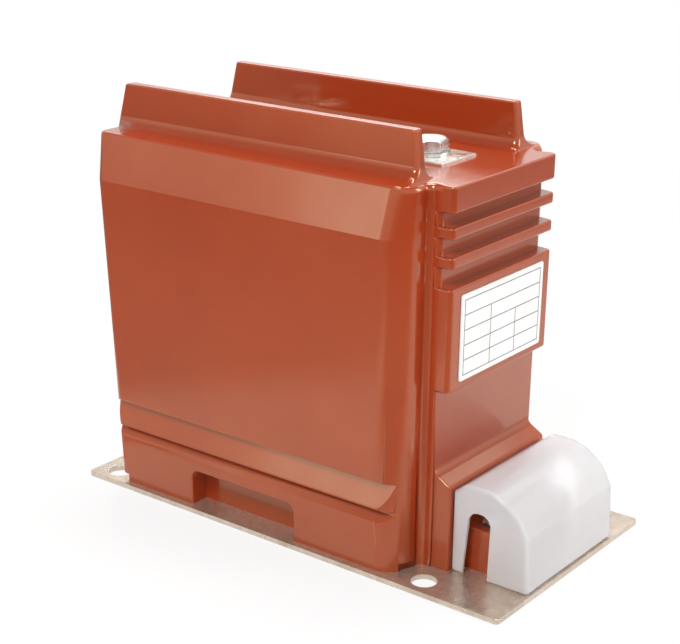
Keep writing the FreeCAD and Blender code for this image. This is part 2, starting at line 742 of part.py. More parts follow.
def at_csk_ends(body, name, originals, z):
    """Repeat a screw or insert at both ends of the foot."""
    repeat(body, name, originals, "X_Axis", "%s - %s" % (CSK_ENDS[1], CSK_ENDS[0]), 2)
    place(body, CSK_ENDS[0], "0", z)


def make_plate_screws():
    """Countersunk screws from under the plate, their heads just inside its underside."""
    body = new_body("plate_screws")
    profile = new_sketch(body, "plate_screw_profile", "XZ_Plane")
    add_outline(profile, [("0", "0"), ("csk_head_r", "0"), ("csk_shank_r", "csk_head_r - csk_shank_r"),
                          ("csk_shank_r", "csk_long"), ("0", "csk_long")])
    screw = revolve(body, "plate_screw", profile)
    slot = new_sketch(body, "plate_screw_slot")
    add_outline(slot, rectangle("-csk_head_r", "csk_head_r", "-csk_slot_wide / 2", "csk_slot_wide / 2"))
    slotted = pocket(body, "plate_screw_slotted", slot, "csk_slot_deep", reverse=True)
    at_csk_ends(body, "plate_screw_pair", [screw, slotted], "csk_gap")
    return body


def make_plate_inserts():
    """Hexagonal blind inserts cast into the underside of the body, tapped for the screws of the plate."""
    body = new_body("plate_inserts")
    outline = new_sketch(body, "insert_outline")
    add_outline(outline, hexagon("insert_flats"))
    block = pad(body, "insert_block", outline, "insert_long")
    hole = new_sketch(body, "insert_hole")
    add_circle(hole, "0", "0", "csk_shank_r + thread_gap")
    tapped = pocket(body, "insert_tapped", hole, INSERT_BORE, reverse=True)
    at_csk_ends(body, "insert_pair", [block, tapped], "plate_thick")
    return body


def make_bores():
    """The tapped holes of the pieces cast in, as solids, so that no resin fills them."""
    body = new_body("bores")
    bolts = new_sketch(body, "bolt_bores", level=TOP + " + terminal_proud - bolt_deep")
    for side in ("-", "+"):
        add_circle(bolts, PRIMARY_ENDS[side], "0", "bolt_r + thread_gap")
    pad(body, "bolt_bore_pair", bolts, "bolt_deep")
    studs = new_sketch(body, "stud_bores", level=BLOCK + " + stud_proud - screw_deep")
    for row in ("-1.5", "-0.5", "0.5", "1.5"):
        add_circle(studs, STUD_X, "%s * %s" % (row, STUD_PITCH), "screw_r + thread_gap")
    pad(body, "stud_bore_row", studs, "screw_deep")
    inserts = new_sketch(body, "insert_bores", level="plate_thick")
    for x in CSK_ENDS:
        add_circle(inserts, x, "0", "csk_shank_r + thread_gap")
    pad(body, "insert_bore_pair", inserts, INSERT_BORE)
    return body


def make_earth_screw():
    body = new_body("earth_screw")
    add_hex_screw(body, "earth_screw", "earth_r", "plate_thick", "earth_flats", "earth_head")
    place(body, EARTH_X, "0", "plate_thick")
    return body


def cover_profile(inset):
    """The cover seen from the side, drawn in by an inset from its outer face."""
    back = LEDGE + " + cover_seat"
    out = LEDGE + " + "
    drop = " - " + inset
    return [(back, "plate_thick"),
            (back, "plate_thick + cover_back_high" + drop),
            (out + "cover_shoulder_out", "plate_thick + cover_top" + drop, "cover_shoulder_r" + drop),
            (out + "cover_brow_out" + drop + " / 2", "plate_thick + cover_top" + drop, "cover_brow_r" + drop),
            (out + "cover_slope_out" + drop, "plate_thick + cover_slope_high" + drop, "cover_slope_r" + drop),
            (out + "cover_edge_out" + drop, "plate_thick + cover_edge_high" + drop + " / 2",
             "cover_edge_r" + drop + " / 2"),
            (out + "cover_front_out" + drop, "plate_thick")]


def make_cover():
    """Moulded cover of the secondary terminals, open at its back and foot, with a cable slot in each side."""
    body = new_body("terminal_cover")
    outside = new_sketch(body, "cover_outside", "XZ_Plane")
    add_outline(outside, cover_profile("0"))
    pad(body, "cover_solid", outside, "2 * " + COVER_SIDE, both_ways=True)

    def side_edge(at, edge):
        return (near(abs(at.y), COVER_SIDE) and not near(at.z, "plate_thick")
                and at.x > value(LEDGE + " + cover_seat + cover_wall / 2"))

    soften(body, "cover_bevelled", side_edge, "cover_bevel", "Chamfer")
    inside = new_sketch(body, "cover_inside", "XZ_Plane")
    add_outline(inside, cover_profile("cover_wall"))
    pocket(body, "cover_hollow", inside, "2 * %s - 2 * cover_wall" % COVER_SIDE, both_ways=True)
    opening = new_sketch(body, "cover_opening", "XZ_Plane")
    out, high = LEDGE + " + ", "plate_thick + opening_high"
    add_outline(opening, [(out + "opening_left_foot", "plate_thick"),
                          (out + "opening_left_top", high, "opening_round"),
                          (out + "opening_top", high, "opening_round"),
                          (out + "opening_right_top", "plate_thick + opening_shoulder", "opening_round"),
                          (out + "opening_right_foot", "plate_thick")])
    pocket(body, "cover_openings", opening, "3 * " + COVER_SIDE, both_ways=True)
    beads = new_sketch(body, "cover_beads", level="plate_thick + bead_from")
    for sign in ("-", "+"):
        add_circle(beads, LEDGE + " + rim_deep / 2", "%s(%s - cover_wall)" % (sign, COVER_SIDE), "bead_r")
    pad(body, "cover_beaded", beads, "bead_high")
    return body


def make_nameplate():
    """Bare plate stuck to the pad of the right end."""
    body = new_body("nameplate")
    outline = new_sketch(body, "nameplate_outline", "YZ_Plane", END)
    middle = "(%s - pad_down - pad_high / 2)" % TOP
    add_outline(outline, rectangle("-name_long / 2", "name_long / 2", middle + " - name_high / 2",
                                   middle + " + name_high / 2", "name_corner"))
    pad(body, "nameplate_sheet", outline, "name_thick")
    return body


CAST_IN = [make_primary_terminal("primary_terminal_p1", "-"),
           make_primary_terminal("primary_terminal_p2", "+"),
           make_primary_bar(), make_core("core_one", "-"), make_core("core_two", "+"),
           make_winding("secondary_winding_one", "-"), make_winding("secondary_winding_two", "+"),
           make_leads("secondary_leads_one", "-", "1.5"), make_leads("secondary_leads_two", "+", "0.5"),
           make_secondary_studs(), make_plate_inserts()]
FITTED = [make_base_plate(), make_plate_screws(), make_primary_washers(), make_primary_bolts(),
          make_secondary_clamps(), make_secondary_screws(), make_earth_screw(), make_cover(),
          make_nameplate()]


def make_resin_body():
    """The casting with room for every piece cast into it and for its tapped holes."""
    inner = DOC.addObject("Part::Compound", "cast_in_pieces")
    inner.Links = CAST_IN + [make_bores()]
    body = DOC.addObject("Part::Cut", "resin_body")
    body.Base = make_casting()
    body.Tool = inner
    return body


NODES = [make_resin_body()] + CAST_IN + FITTED
DOC.recompute()

for item in DOC.Objects:
    if "Invalid" in item.State or "Error" in item.State:
        raise RuntimeError("%s could not be made: %s" % (item.Name, item.getStatusString()))
os.makedirs("parts", exist_ok=True)
for node in NODES:
    if node.Shape.isNull() or not node.Shape.isValid():
        raise RuntimeError("%s has no valid shape" % node.Label)
for node in NODES:
    node.Shape.exportStep("parts/%s.step" % node.Label)
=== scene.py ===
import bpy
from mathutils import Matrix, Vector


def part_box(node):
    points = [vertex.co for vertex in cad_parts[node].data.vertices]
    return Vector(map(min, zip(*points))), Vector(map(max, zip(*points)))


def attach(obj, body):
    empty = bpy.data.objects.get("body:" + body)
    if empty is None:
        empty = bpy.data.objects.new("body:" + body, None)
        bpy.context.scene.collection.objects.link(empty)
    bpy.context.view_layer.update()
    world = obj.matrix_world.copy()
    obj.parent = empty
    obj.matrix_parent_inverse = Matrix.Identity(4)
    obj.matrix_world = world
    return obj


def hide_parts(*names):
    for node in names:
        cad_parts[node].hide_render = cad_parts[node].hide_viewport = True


bl_info = {
    "name": "Cast Resin Current Transformer",
    "version": (1, 0, 0),
    "blender": (4, 5, 0),
    "location": "View3D > Sidebar > Transformer",
    "description": "Dresses the solids of a block-type current transformer with its finishes",
    "category": "Object",
}

import math

import bmesh
import bpy
from bpy.props import FloatProperty, FloatVectorProperty, IntProperty, PointerProperty
from mathutils import Matrix, Vector

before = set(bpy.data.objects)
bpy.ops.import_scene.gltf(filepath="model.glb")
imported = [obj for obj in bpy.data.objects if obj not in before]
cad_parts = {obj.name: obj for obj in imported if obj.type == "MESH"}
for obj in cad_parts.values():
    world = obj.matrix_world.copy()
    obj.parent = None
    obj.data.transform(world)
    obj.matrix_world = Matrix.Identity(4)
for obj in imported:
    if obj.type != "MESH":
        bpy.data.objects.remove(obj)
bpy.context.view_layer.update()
MM = 0.001
HAIR = 0.01 * MM
CLEAR = 0.02 * MM
MOUNTS_X = (-131.5 * MM, 93.5 * MM)
MOUNTS_Y = (-62.5 * MM, 62.5 * MM)
SINKS_X = (-96.5 * MM, 53.5 * MM)
SINK_RIM, SINK_BORE, SINK_DEEP = 6.9 * MM, 4.2 * MM, 2.7 * MM
EARTH_GAP = 0.05 * MM
SPARE = 20 * MM

# Corners of the cover from its crown to its front: place in millimetres from the back and the foot,
# and the shares of an inset that are taken along X, along Z and off the corner's radius
COVER_CORNERS = ((8.2, 52.5, 0.0, 1.0, 1.0), (25.2, 52.5, 0.5, 1.0, 1.0), (39.7, 43.0, 1.0, 1.0, 1.0),
                 (46.0, 31.0, 1.0, 0.5, 0.5))
COVER_BACK, COVER_SEAT, COVER_EDGE = 46.5 * MM, 0.3 * MM, 0.3 * MM
SLOT_FOOT, SLOT_ARCH, SLOT_TOP = (7.3 * MM, 23.1 * MM), (10.8 * MM, 24.0 * MM), 38.0 * MM
BEAD_IN, BEAD_LOW, BEAD_HIGH = 2.0 * MM, 12 * MM, 34 * MM

# Nameplate: rounding and edge, then the rules' inset, height, rows and inner columns (place, reach)
NAME_ROUND, NAME_EDGE, RULE_INSET, INK = 1.5 * MM, 0.2 * MM, 3 * MM, 0.06 * MM
RULE_ROWS, RULE_COLUMNS = 5, ((0.34, 0.8), (0.67, 0.6))

# Screws, as shares of the head: crown, edge, floor of the slot, top of the shank. Then washers and clamps
CROWN, HEAD_EDGE, SLOT_FLOOR, SHANK_TOP = 0.46, 0.02, 0.62, 0.3
SCREW_SLOT, EARTH_SLOT = 1.2 * MM, 1.4 * MM
WASHER_EDGE, BORE_GAP, CLAMP_ROUND = 0.25 * MM, 0.3 * MM, 0.8 * MM

# Softboxes: name, place, aim, width, height and watts
LAMPS = (("Key softbox", (0.35, -1.25, 1.55), (0, 0, 0.12), 0.50, 0.50, 20),
         ("Top softbox", (-0.2, 0.5, 1.7), (0, 0, 0.2), 0.8, 0.6, 16),
         ("Right softbox", (1.5, 0.7, 0.8), (0.05, 0, 0.12), 0.7, 0.7, 10),
         ("Low softbox", (-0.75, -1.35, 0.25), (0.05, -0.07, 0.18), 0.35, 0.30, 0.6),
         ("Back softbox", (-1.24, 1.58, 1.08), (0, 0, 0.2), 0.6, 0.35, 4),
         ("Far softbox", (0.15, 1.20, 1.20), (0.05, 0, 0.1), 0.5, 0.4, 0.9))
WHITE = (1, 1, 1, 1)
FLOOR_GAP = 0.2 * MM
DONE = {"FINISHED"}

PLATE_LOW, PLATE_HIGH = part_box("base_plate")
COVER_LOW, COVER_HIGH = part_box("terminal_cover")
NAME_LOW, NAME_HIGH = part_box("nameplate")
BOLTS_LOW, BOLTS_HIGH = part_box("primary_bolts")
WASHERS_LOW, WASHERS_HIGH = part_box("primary_washers")
SCREWS_LOW, SCREWS_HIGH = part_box("secondary_screws")
CLAMPS_LOW, CLAMPS_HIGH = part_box("secondary_clamps")
EARTH_LOW, EARTH_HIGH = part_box("earth_screw")
EARTH = (EARTH_LOW + EARTH_HIGH) / 2
CAST_IN = ("primary_terminal_p1", "primary_terminal_p2", "primary_bar", "core_one", "core_two",
           "secondary_winding_one", "secondary_winding_two", "secondary_leads_one",
           "secondary_leads_two", "secondary_studs", "plate_inserts")


def length(name, description, millimetres):
    return FloatProperty(name=name, description=description, default=millimetres * MM, unit="LENGTH",
                         precision=4)


def share(name, description, default):
    return FloatProperty(name=name, description=description, default=default, subtype="FACTOR",
                         min=0.0, max=1.0)


def colour(name, description, *default):
    return FloatVectorProperty(name=name, description=description, default=default, subtype="COLOR",
                               min=0.0, max=1.0)


def angle(name, description, degrees):
    return FloatProperty(name=name, description=description, default=math.radians(degrees),
                         unit="ROTATION")


class CastingSizes(bpy.types.PropertyGroup):
    side: length("Side", "Half the width over the side panels", 69.5)
    top_side: length("Top side", "Half the width at the top edge", 65.0)
    left: length("Left", "Left end at the foot", 123.0)
    left_lean: length("Left lean", "How far the left end leans out at the top", 8.5)
    left_round: length("Left corners", "Radius of the upright corners at the left", 5.0)
    right: length("Right", "Where the side panels end", 80.0)
    crease_z: length("Crease", "Height of the crease in the side panels", 184.0)
    top_z: length("Top", "Height of the top face", 210.0)
    top_edge: length("Top edge", "Radius along the top of the side panels", 1.2)
    turn_edge: length("Turn edge", "Radius along the top of the S-shaped corners", 3.6)
    neck_side: length("Neck side", "Half the width of the neck", 48.0)
    neck: length("Neck", "Right face of the neck", 87.0)
    neck_round: length("Neck corners", "Radius of the neck's corners", 1.2)
    corner: share("Corner", "Share of the step to the neck that is rounded outwards", 0.72)
    cove: share("Cove", "Share of the step to the neck that is rounded inwards", 0.24)
    end: length("End", "Right face of the flange, ribs and pad", 94.5)
    end_round: length("End corners", "Radius of the corners of flange, ribs and pad", 3.0)
    gap_round: length("Gap corners", "Radius of the neck's corners in the gaps between the ribs", 3.0)
    flange_z: length("Flange", "Height of the flange's underside", 196.7)
    rib_one_z: length("Upper rib", "Height of the upper rib's underside", 183.7)
    rib_two_z: length("Lower rib", "Height of the lower rib's underside", 168.7)
    rib_thick: length("Rib thickness", "Thickness of both ribs", 5.8)
    pad_high: length("Pad top", "Height of the nameplate pad's upper edge", 158.3)
    pad_low: length("Pad foot", "Height of the nameplate pad's lower edge", 103.5)
    ledge: length("Ledge", "Right face of the ledge", 97.5)
    ledge_side: length("Ledge side", "Half the width of the ledge", 46.5)
    ledge_lip: length("Ledge lip", "Height of the ledge's outer edge", 51.5)
    ledge_root: length("Ledge root", "Height of the ledge's inner edge", 57.5)
    ledge_round: length("Ledge rounding", "Radius along the ledge's lip", 2.8)
    fillet: length("Fillet", "Radius between the ledge and the neck", 6.5)
    rim_side: length("Rim side", "Half the width of the rim inside the cover", 42.2)
    rim_top: length("Rim top", "Height of the rim inside the cover", 47.2)
    rim_deep: length("Rim depth", "How far the rim stands out of the ledge", 4.0)
    block_end: length("Block end", "Right face of the terminal block", 122.0)
    block_side: length("Block side", "Half the width of the terminal block", 36.0)
    block_top: length("Block top", "Height of the terminal block", 27.5)
    flute_high: length("Upper flute top", "Height of the upper flute's overhang", 54.0)
    flute_low: length("Upper flute foot", "Height where the upper flute runs out", 39.5)
    flute_deep: length("Upper flute depth", "Depth of the upper flute", 5.0)
    notch_high: length("Lower flute top", "Height of the lower flute's overhang", 38.5)
    notch_turn: length("Lower flute turn", "Height where the lower flute's wall turns", 36.5)
    notch_low: length("Lower flute foot", "Height where the lower flute runs out", 31.0)
    notch_deep: length("Lower flute depth", "Depth of the lower flute", 4.5)
    recess_left: length("Recess left", "Left end of the hand recess", -65.0)
    recess_right: length("Recess right", "Right end of the hand recess", 10.0)
    recess_top: length("Recess top", "Height of the hand recess", 24.5)
    recess_deep: length("Recess depth", "Depth of the hand recess", 12.0)
    recess_round: length("Recess corners", "Radius of the recess's upper corners", 5.0)
    room: length("Bolt room", "Radius of the room over each mounting hole", 16.5)
    room_high: length("Bolt room height", "Height of that room above the plate", 4.5)
    edge: length("Edges", "Radius of the casting's small edges", 1.1)


class FinSizes(bpy.types.PropertyGroup):
    left: length("Left", "Left end at the root", 130.1)
    left_tip: length("Left tip", "Left end at the tip", 124.0)
    right: length("Right", "Right end at the root", 74.5)
    right_tip: length("Right tip", "Right end at the tip", 71.0)
    outer: length("Outer face", "Outer face at the root, from the middle", 50.2)
    outer_tip: length("Outer tip", "Outer face at the tip, from the middle", 48.7)
    root: length("Root", "Thickness at the root", 8.9)
    tip: length("Tip", "Thickness at the tip", 6.6)
    top_z: length("Top", "Height of the tip", 234.5)
    corner: share("Corners", "Share of the thickness that is rounded at the ends", 0.36)
    cove: length("Cove", "Height of the cove round the root", 7.0)
    cove_out: length("Outer cove", "Width of the cove outside the fin", 13.0)
    cove_in: length("Inner cove", "Width of the cove between the fins", 6.0)
    cove_right: length("Right cove", "Width of the cove at the right end", 1.2)
    run_in: length("Run in", "Length over which the outer cove grows from the left end", 14.0)
    sunk: length("Sunk", "How deep the fin's solid reaches into the casting", 3.0)
    edge: length("Edges", "Radius of the tip's edges", 0.9)


class CoverSizes(bpy.types.PropertyGroup):
    wall: length("Wall", "Thickness of the moulding", 2.0)
    shoulder: length("Shoulder", "Radius over the back edge", 7.0)
    brow: length("Brow", "Radius where the top turns down", 25.0)
    slope: length("Slope", "Radius where the slope turns down", 25.0)
    lip: length("Lip", "Radius over the front face", 6.0)
    bevel: length("Bevel", "Width of the rounding along both sides", 2.4)
    slot_round: length("Slot arch", "Radius of the cable slots' arch", 6.0)
    bead: length("Bead", "Radius of the beads that click onto the rim", 1.0)


class FittingSizes(bpy.types.PropertyGroup):
    plate_corner: length("Plate corners", "Radius of the base plate's corners", 2.5)
    plate_edge: length("Plate edges", "Rounding of the sheet's edges", 0.35)
    mount_hole: length("Mounting holes", "Radius of the mounting holes", 7.0)
    bolt_flats: length("Bolt flats", "Width across flats of the primary bolts", 17.0)
    bolt_shank: length("Bolt shank", "Radius of the primary bolts", 5.0)
    screw_flats: length("Screw flats", "Width across flats of the secondary screws", 8.0)
    screw_shank: length("Screw shank", "Radius of the secondary screws", 2.5)
    earth_flats: length("Earth flats", "Width across flats of the earth screw", 10.0)
    earth_shank: length("Earth shank", "Radius of the earth screw", 3.0)
    screw_count: IntProperty(name="Secondary screws", description="Screws in the secondary row",
                             default=4, min=2)
    bolt_count: IntProperty(name="Primary bolts", description="Bolts on top", default=2, min=2)
    rule: length("Rules", "Width of the printed rules on the nameplate", 0.45)


class Finishes(bpy.types.PropertyGroup):
    resin: colour("Resin", "Colour of the cast resin", 0.385, 0.046, 0.011)
    resin_deep: colour("Deep resin", "Colour of its darker clouds", 0.350, 0.037, 0.008)
    zinc: colour("Zinc", "Colour of the plated sheet", 0.64, 0.52, 0.41)
    zinc_stain: colour("Zinc stain", "Colour of its dull patches", 0.48, 0.385, 0.29)
    silver: colour("Silver", "Colour of the plated terminals", 0.88, 0.86, 0.80)
    steel: colour("Steel", "Colour of screws and washers", 0.72, 0.72, 0.71)
    cover: colour("Cover", "Colour of the frosted cover", 0.975, 0.96, 0.975)
    sheet: colour("Nameplate", "Colour of the bare nameplate", 0.95, 0.95, 0.94)
    rules: colour("Rules", "Colour of the printed rules", 0.10, 0.06, 0.06)


class StageSettings(bpy.types.PropertyGroup):
    floor: colour("Floor", "Colour of the floor and backdrop", 0.90, 0.90, 0.89)
    floor_half: length("Floor", "Half the floor's length", 6000.0)
    world: share("World", "Level of the light from all round", 0.38)
    eye: FloatVectorProperty(name="Camera", description="Where the camera stands", subtype="XYZ",
                             unit="LENGTH", default=(0.4954, -0.6565, 0.3903))
    azimuth: angle("Azimuth", "Turn of the camera round the object", 38.07)
    elevation: angle("Elevation", "Height angle of the camera", 23.83)
    roll: angle("Roll", "Tilt of the camera", 0.2)
    lens: FloatProperty(name="Lens", description="Focal length for a 36 mm sensor", default=81.65,
                        unit="CAMERA")
    shift: FloatVectorProperty(name="Shift", description="Sideways and upward shift of the frame",
                               size=2, default=(0.0153, 0.1975))


def corner_arc(before, here, after, radius, turn=math.radians(6)):
    """Points of the arc that rounds a corner."""
    back, ahead = (before - here).normalized(), (after - here).normalized()
    half = back.angle(ahead) / 2
    centre = here + (back + ahead).normalized() * (radius / math.sin(half))
    start = here + back * (radius / math.tan(half)) - centre
    sweep = start.angle_signed(here + ahead * (radius / math.tan(half)) - centre)
    steps = max(3, round(abs(sweep) / turn))
    return [centre + Matrix.Rotation(-sweep * i / steps, 2) @ start for i in range(steps + 1)]


def ring(corners):
    """Points of a closed outline. A corner is x, y and, where it is rounded, a radius."""
    spots = [Vector(corner[:2]) for corner in corners]
    points = []
    for i, corner in enumerate(corners):
        after = spots[(i + 1) % len(spots)]
        points += corner_arc(spots[i - 1], spots[i], after, *corner[2:]) if corner[2:] else [spots[i]]
    return points


def box_ring(left, right, low, high, *radius):
    return ring([(x, y, *radius) for x, y in ((left, low), (right, low), (right, high), (left, high))])


def new_piece(name, data):
    piece = bpy.data.objects.new(name, data)
    bpy.context.scene.collection.objects.link(piece)
    return piece


def from_bmesh(name, shape):
    bmesh.ops.recalc_face_normals(shape, faces=shape.faces)
    mesh = bpy.data.meshes.new(name)
    shape.to_mesh(mesh)
    shape.free()
    return new_piece(name, mesh)


def stack(name, levels, axis="Z"):
    """A closed solid through outlines of as many points each, at levels along an axis."""
    turned = {"X": lambda p, v: (v, p.x, p.y), "Y": lambda p, v: (p.x, v, p.y),
              "Z": lambda p, v: (p.x, p.y, v)}[axis]
    shape = bmesh.new()
    rings = [[shape.verts.new(turned(p, level)) for p in points] for level, points in levels]
    for low, high in zip(rings, rings[1:]):
        for i in range(len(low)):
            shape.faces.new((low[i - 1], low[i], high[i], high[i - 1]))
    shape.faces.new(rings[0])
    shape.faces.new(rings[-1])
    bmesh.ops.remove_doubles(shape, verts=shape.verts, dist=0.1 * HAIR)
    return from_bmesh(name, shape)


def prism(name, points, low, high, axis="Z"):
    return stack(name, [(low, points), (high, points)], axis)


def lathe(name, profile, steps=64):
    """A closed solid of revolution about Z, from its half profile of radius and height."""
    shape = bmesh.new()
    verts = [shape.verts.new((r, 0, z)) for r, z in profile]
    edges = [shape.edges.new((verts[i - 1], verts[i])) for i in range(len(verts))]
    bmesh.ops.spin(shape, geom=verts + edges, axis=(0, 0, 1), cent=(0, 0, 0), angle=math.tau, steps=steps)
    bmesh.ops.remove_doubles(shape, verts=shape.verts, dist=HAIR)
    bmesh.ops.dissolve_degenerate(shape, edges=shape.edges, dist=HAIR)
    return from_bmesh(name, shape)


def disc(radius, x=0.0, y=0.0, steps=64, turn=0.0):
    """Points of a circle or, in few steps, of an even polygon."""
    angles = [turn + math.tau * i / steps for i in range(steps)]
    return [Vector((x + radius * math.cos(a), y + radius * math.sin(a))) for a in angles]


def settled(piece):
    """Turn the piece's modifiers into its plain mesh."""
    graph = bpy.context.evaluated_depsgraph_get()
    old = piece.data
    piece.data = bpy.data.meshes.new_from_object(piece.evaluated_get(graph), depsgraph=graph)
    piece.modifiers.clear()
    bpy.data.meshes.remove(old)
    return piece


def joined(piece, tools, how="UNION"):
    """Add, take away or intersect solids, which are used up."""
    for tool in tools:
        change = piece.modifiers.new(how, "BOOLEAN")
        change.operation, change.solver, change.object = how, "EXACT", tool
        settled(piece)
        mesh = tool.data
        bpy.data.objects.remove(tool)
        bpy.data.meshes.remove(mesh)
    return piece


def cut(piece, *tools):
    return joined(piece, tools, "DIFFERENCE")


def tidy_faces(piece, turn=math.radians(0.4)):
    """Merge doubled points and the flat faces that the joining split."""
    shape = bmesh.new()
    shape.from_mesh(piece.data)
    bmesh.ops.remove_doubles(shape, verts=shape.verts, dist=HAIR)
    bmesh.ops.dissolve_limit(shape, angle_limit=turn, verts=shape.verts, edges=shape.edges)
    shape.to_mesh(piece.data)
    shape.free()
    return piece


def rounded(piece, width, segments=3, degrees=32):
    """Round every edge sharper than an angle."""
    change = piece.modifiers.new("Rounding", "BEVEL")
    change.width, change.segments, change.angle_limit = width, segments, math.radians(degrees)
    change.use_clamp_overlap = False
    change.miter_outer = "MITER_ARC"
    return settled(piece)


def smooth(piece, angle=math.radians(38)):
    """Shade curved faces smooth and keep flat faces flat."""
    piece.data.shade_smooth()
    piece.data.set_sharp_from_angle(angle=angle)
    change = piece.modifiers.new("Flat faces", "WEIGHTED_NORMAL")
    change.keep_sharp = True
    return settled(piece)


def dressed(piece, finish, slot, *nodes):
    """Give a new piece its finish and its body, and hide the solids that it stands for."""
    piece.data.materials.clear()
    piece.data.materials.append(finish)
    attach(piece, "root")
    if nodes:
        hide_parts(*nodes)
    return piece


def worn(node, finish):
    """Give a carried-over solid its finish."""
    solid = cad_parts[node]
    if not solid.data.materials:
        solid.data.materials.append(finish)
    for slot in solid.material_slots:
        slot.material = finish


class Finish:
    """A material in the making: each method adds a node and gives its output."""

    def __init__(self, name, **settings):
        self.material = bpy.data.materials.new(name)
        self.material.use_nodes = True
        self.tree = self.material.node_tree
        self.shader = self.tree.nodes["Principled BSDF"]
        self.where = self.add("ShaderNodeTexCoord").outputs["Object"]
        self.feed(self.shader, **settings)

    def add(self, kind, **settings):
        node = self.tree.nodes.new(kind)
        for setting, given in settings.items():
            setattr(node, setting, given)
        return node

    def plug(self, target, source):
        """Link a socket to an output, or set it to a plain value."""
        if isinstance(source, bpy.types.NodeSocket):
            self.tree.links.new(source, target)
        else:
            target.default_value = source

    def feed(self, node, **sockets):
        for socket, source in sockets.items():
            self.plug(node.inputs[socket.replace("_", " ")], source)
        return node

    def scaled(self, x, y, z):
        """The piece's own coordinates, stretched along its axes."""
        return self.feed(self.add("ShaderNodeMapping"), Vector=self.where, Scale=(x, y, z)).outputs[0]

    def noise(self, scale, detail=2.0, rough=0.5, where=None):
        node = self.add("ShaderNodeTexNoise")
        self.feed(node, Vector=where or self.where, Scale=scale, Detail=detail, Roughness=rough)
        return node.outputs[0]

    def patchy(self, scale, detail, rough, *levels):
        return self.ranged(self.noise(scale, detail, rough), *levels)

    def ranged(self, source, low, high, to_low, to_high):
        node = self.add("ShaderNodeMapRange", interpolation_type="SMOOTHSTEP")
        self.feed(node, Value=source, From_Min=low, From_Max=high, To_Min=to_low, To_Max=to_high)
        return node.outputs[0]

    def mixed(self, factor, first, second):
        node = self.add("ShaderNodeMix", data_type="RGBA")
        self.plug(node.inputs[0], factor)
        for index, tint in ((6, first), (7, second)):
            linked = isinstance(tint, bpy.types.NodeSocket)
            self.plug(node.inputs[index], tint if linked else (*tint, 1.0))
        return node.outputs[2]

    def relief(self, height, distance, strength=1.0, under=None):
        node = self.feed(self.add("ShaderNodeBump"), Height=height, Distance=distance, Strength=strength)
        if under:
            self.feed(node, Normal=under)
        return node.outputs[0]

    def wear(self, base, gloss, normal=None):
        """Feed the shader and give the finished material."""
        self.feed(self.shader, Base_Color=base, Roughness=gloss)
        if normal:
            self.feed(self.shader, Normal=normal)
        return self.material


def resin_finish(looks):
    made = Finish("Cast resin", IOR=1.7, Specular_Tint=(1.0, 0.96, 0.55, 1.0), Coat_Weight=0.35,
                  Coat_Roughness=0.08)
    clouds = made.patchy(11.0, 4.0, 0.55, 0.32, 0.70, 0.0, 1.0)
    speckle = made.patchy(1300.0, 1.0, 0.5, 0.60, 0.76, 0.0, 0.22)
    base = made.mixed(clouds, looks.resin, looks.resin_deep)
    base = made.mixed(speckle, base, looks.resin_deep)
    gloss = made.patchy(23.0, 3.0, 0.5, 0.30, 0.72, 0.16, 0.24)
    peel = made.relief(made.noise(420.0, 2.0), 0.02 * MM, 0.5)
    normal = made.relief(made.noise(14.0, 1.0), 0.4 * MM, 0.35, peel)
    return made.wear(base, gloss, normal)


def zinc_finish(looks):
    made = Finish("Zinc plated sheet", Metallic=0.72)
    patches = made.patchy(26.0, 3.0, 0.55, 0.44, 0.72, 0.0, 0.75)
    spangle = made.patchy(260.0, 3.0, 0.6, 0.35, 0.75, 0.0, 0.35)
    base = made.mixed(patches, looks.zinc, looks.zinc_stain)
    base = made.mixed(spangle, base, (0.80, 0.79, 0.77))
    gloss = made.patchy(60.0, 5.0, 0.6, 0.30, 0.72, 0.22, 0.44)
    rolled = made.noise(1.0, 3.0, 0.6, made.scaled(40.0, 1300.0, 1300.0))
    return made.wear(base, gloss, made.relief(rolled, 0.02 * MM, 0.3))


def plated_finish(name, metal, tint, stain, patches, gloss, grain, deep, strength):
    """Stained patches and an uneven gloss, each a noise and its levels, over a grain in relief."""
    made = Finish(name, Metallic=metal)
    base = made.mixed(made.patchy(*patches), tint, stain)
    shine = made.patchy(*gloss)
    lines = made.noise(1.0, 2.0, 0.5, made.scaled(*grain))
    return made.wear(base, shine, made.relief(lines, deep, strength))


def fastener_finish(looks):
    return plated_finish("Plated fasteners", 1.0, looks.steel, (0.50, 0.49, 0.46),
                         (300.0, 4.0, 0.6, 0.40, 0.72, 0.0, 0.6),
                         (520.0, 3.0, 0.5, 0.30, 0.70, 0.20, 0.38),
                         (900.0, 900.0, 4200.0), 0.02 * MM, 0.5)


def silver_finish(looks):
    return plated_finish("Silver plated terminal", 0.9, looks.silver, (0.66, 0.58, 0.44),
                         (120.0, 5.0, 0.6, 0.46, 0.74, 0.0, 0.7),
                         (200.0, 4.0, 0.5, 0.30, 0.70, 0.24, 0.42),
                         (120.0, 3000.0, 3000.0), 0.02 * MM, 0.6)


def nameplate_finish(looks):
    return plated_finish("Satin nameplate", 0.15, looks.sheet, (0.88, 0.87, 0.85),
                         (70.0, 5.0, 0.6, 0.50, 0.74, 0.0, 0.5),
                         (140.0, 4.0, 0.5, 0.30, 0.70, 0.30, 0.50),
                         (3000.0, 60.0, 3000.0), 0.015 * MM, 0.5)


def cover_finish(looks):
    made = Finish("Frosted cover", IOR=1.45, Transmission_Weight=0.54)
    milk = made.patchy(24.0, 3.0, 0.5, 0.34, 0.70, 0.0, 1.0)
    base = made.mixed(milk, looks.cover, (0.985, 0.97, 0.975))
    frost = made.patchy(30.0, 3.0, 0.5, 0.28, 0.74, 0.12, 0.20)
    normal = made.relief(made.noise(22.0, 1.0), 0.3 * MM, 0.25)
    return made.wear(base, frost, normal)


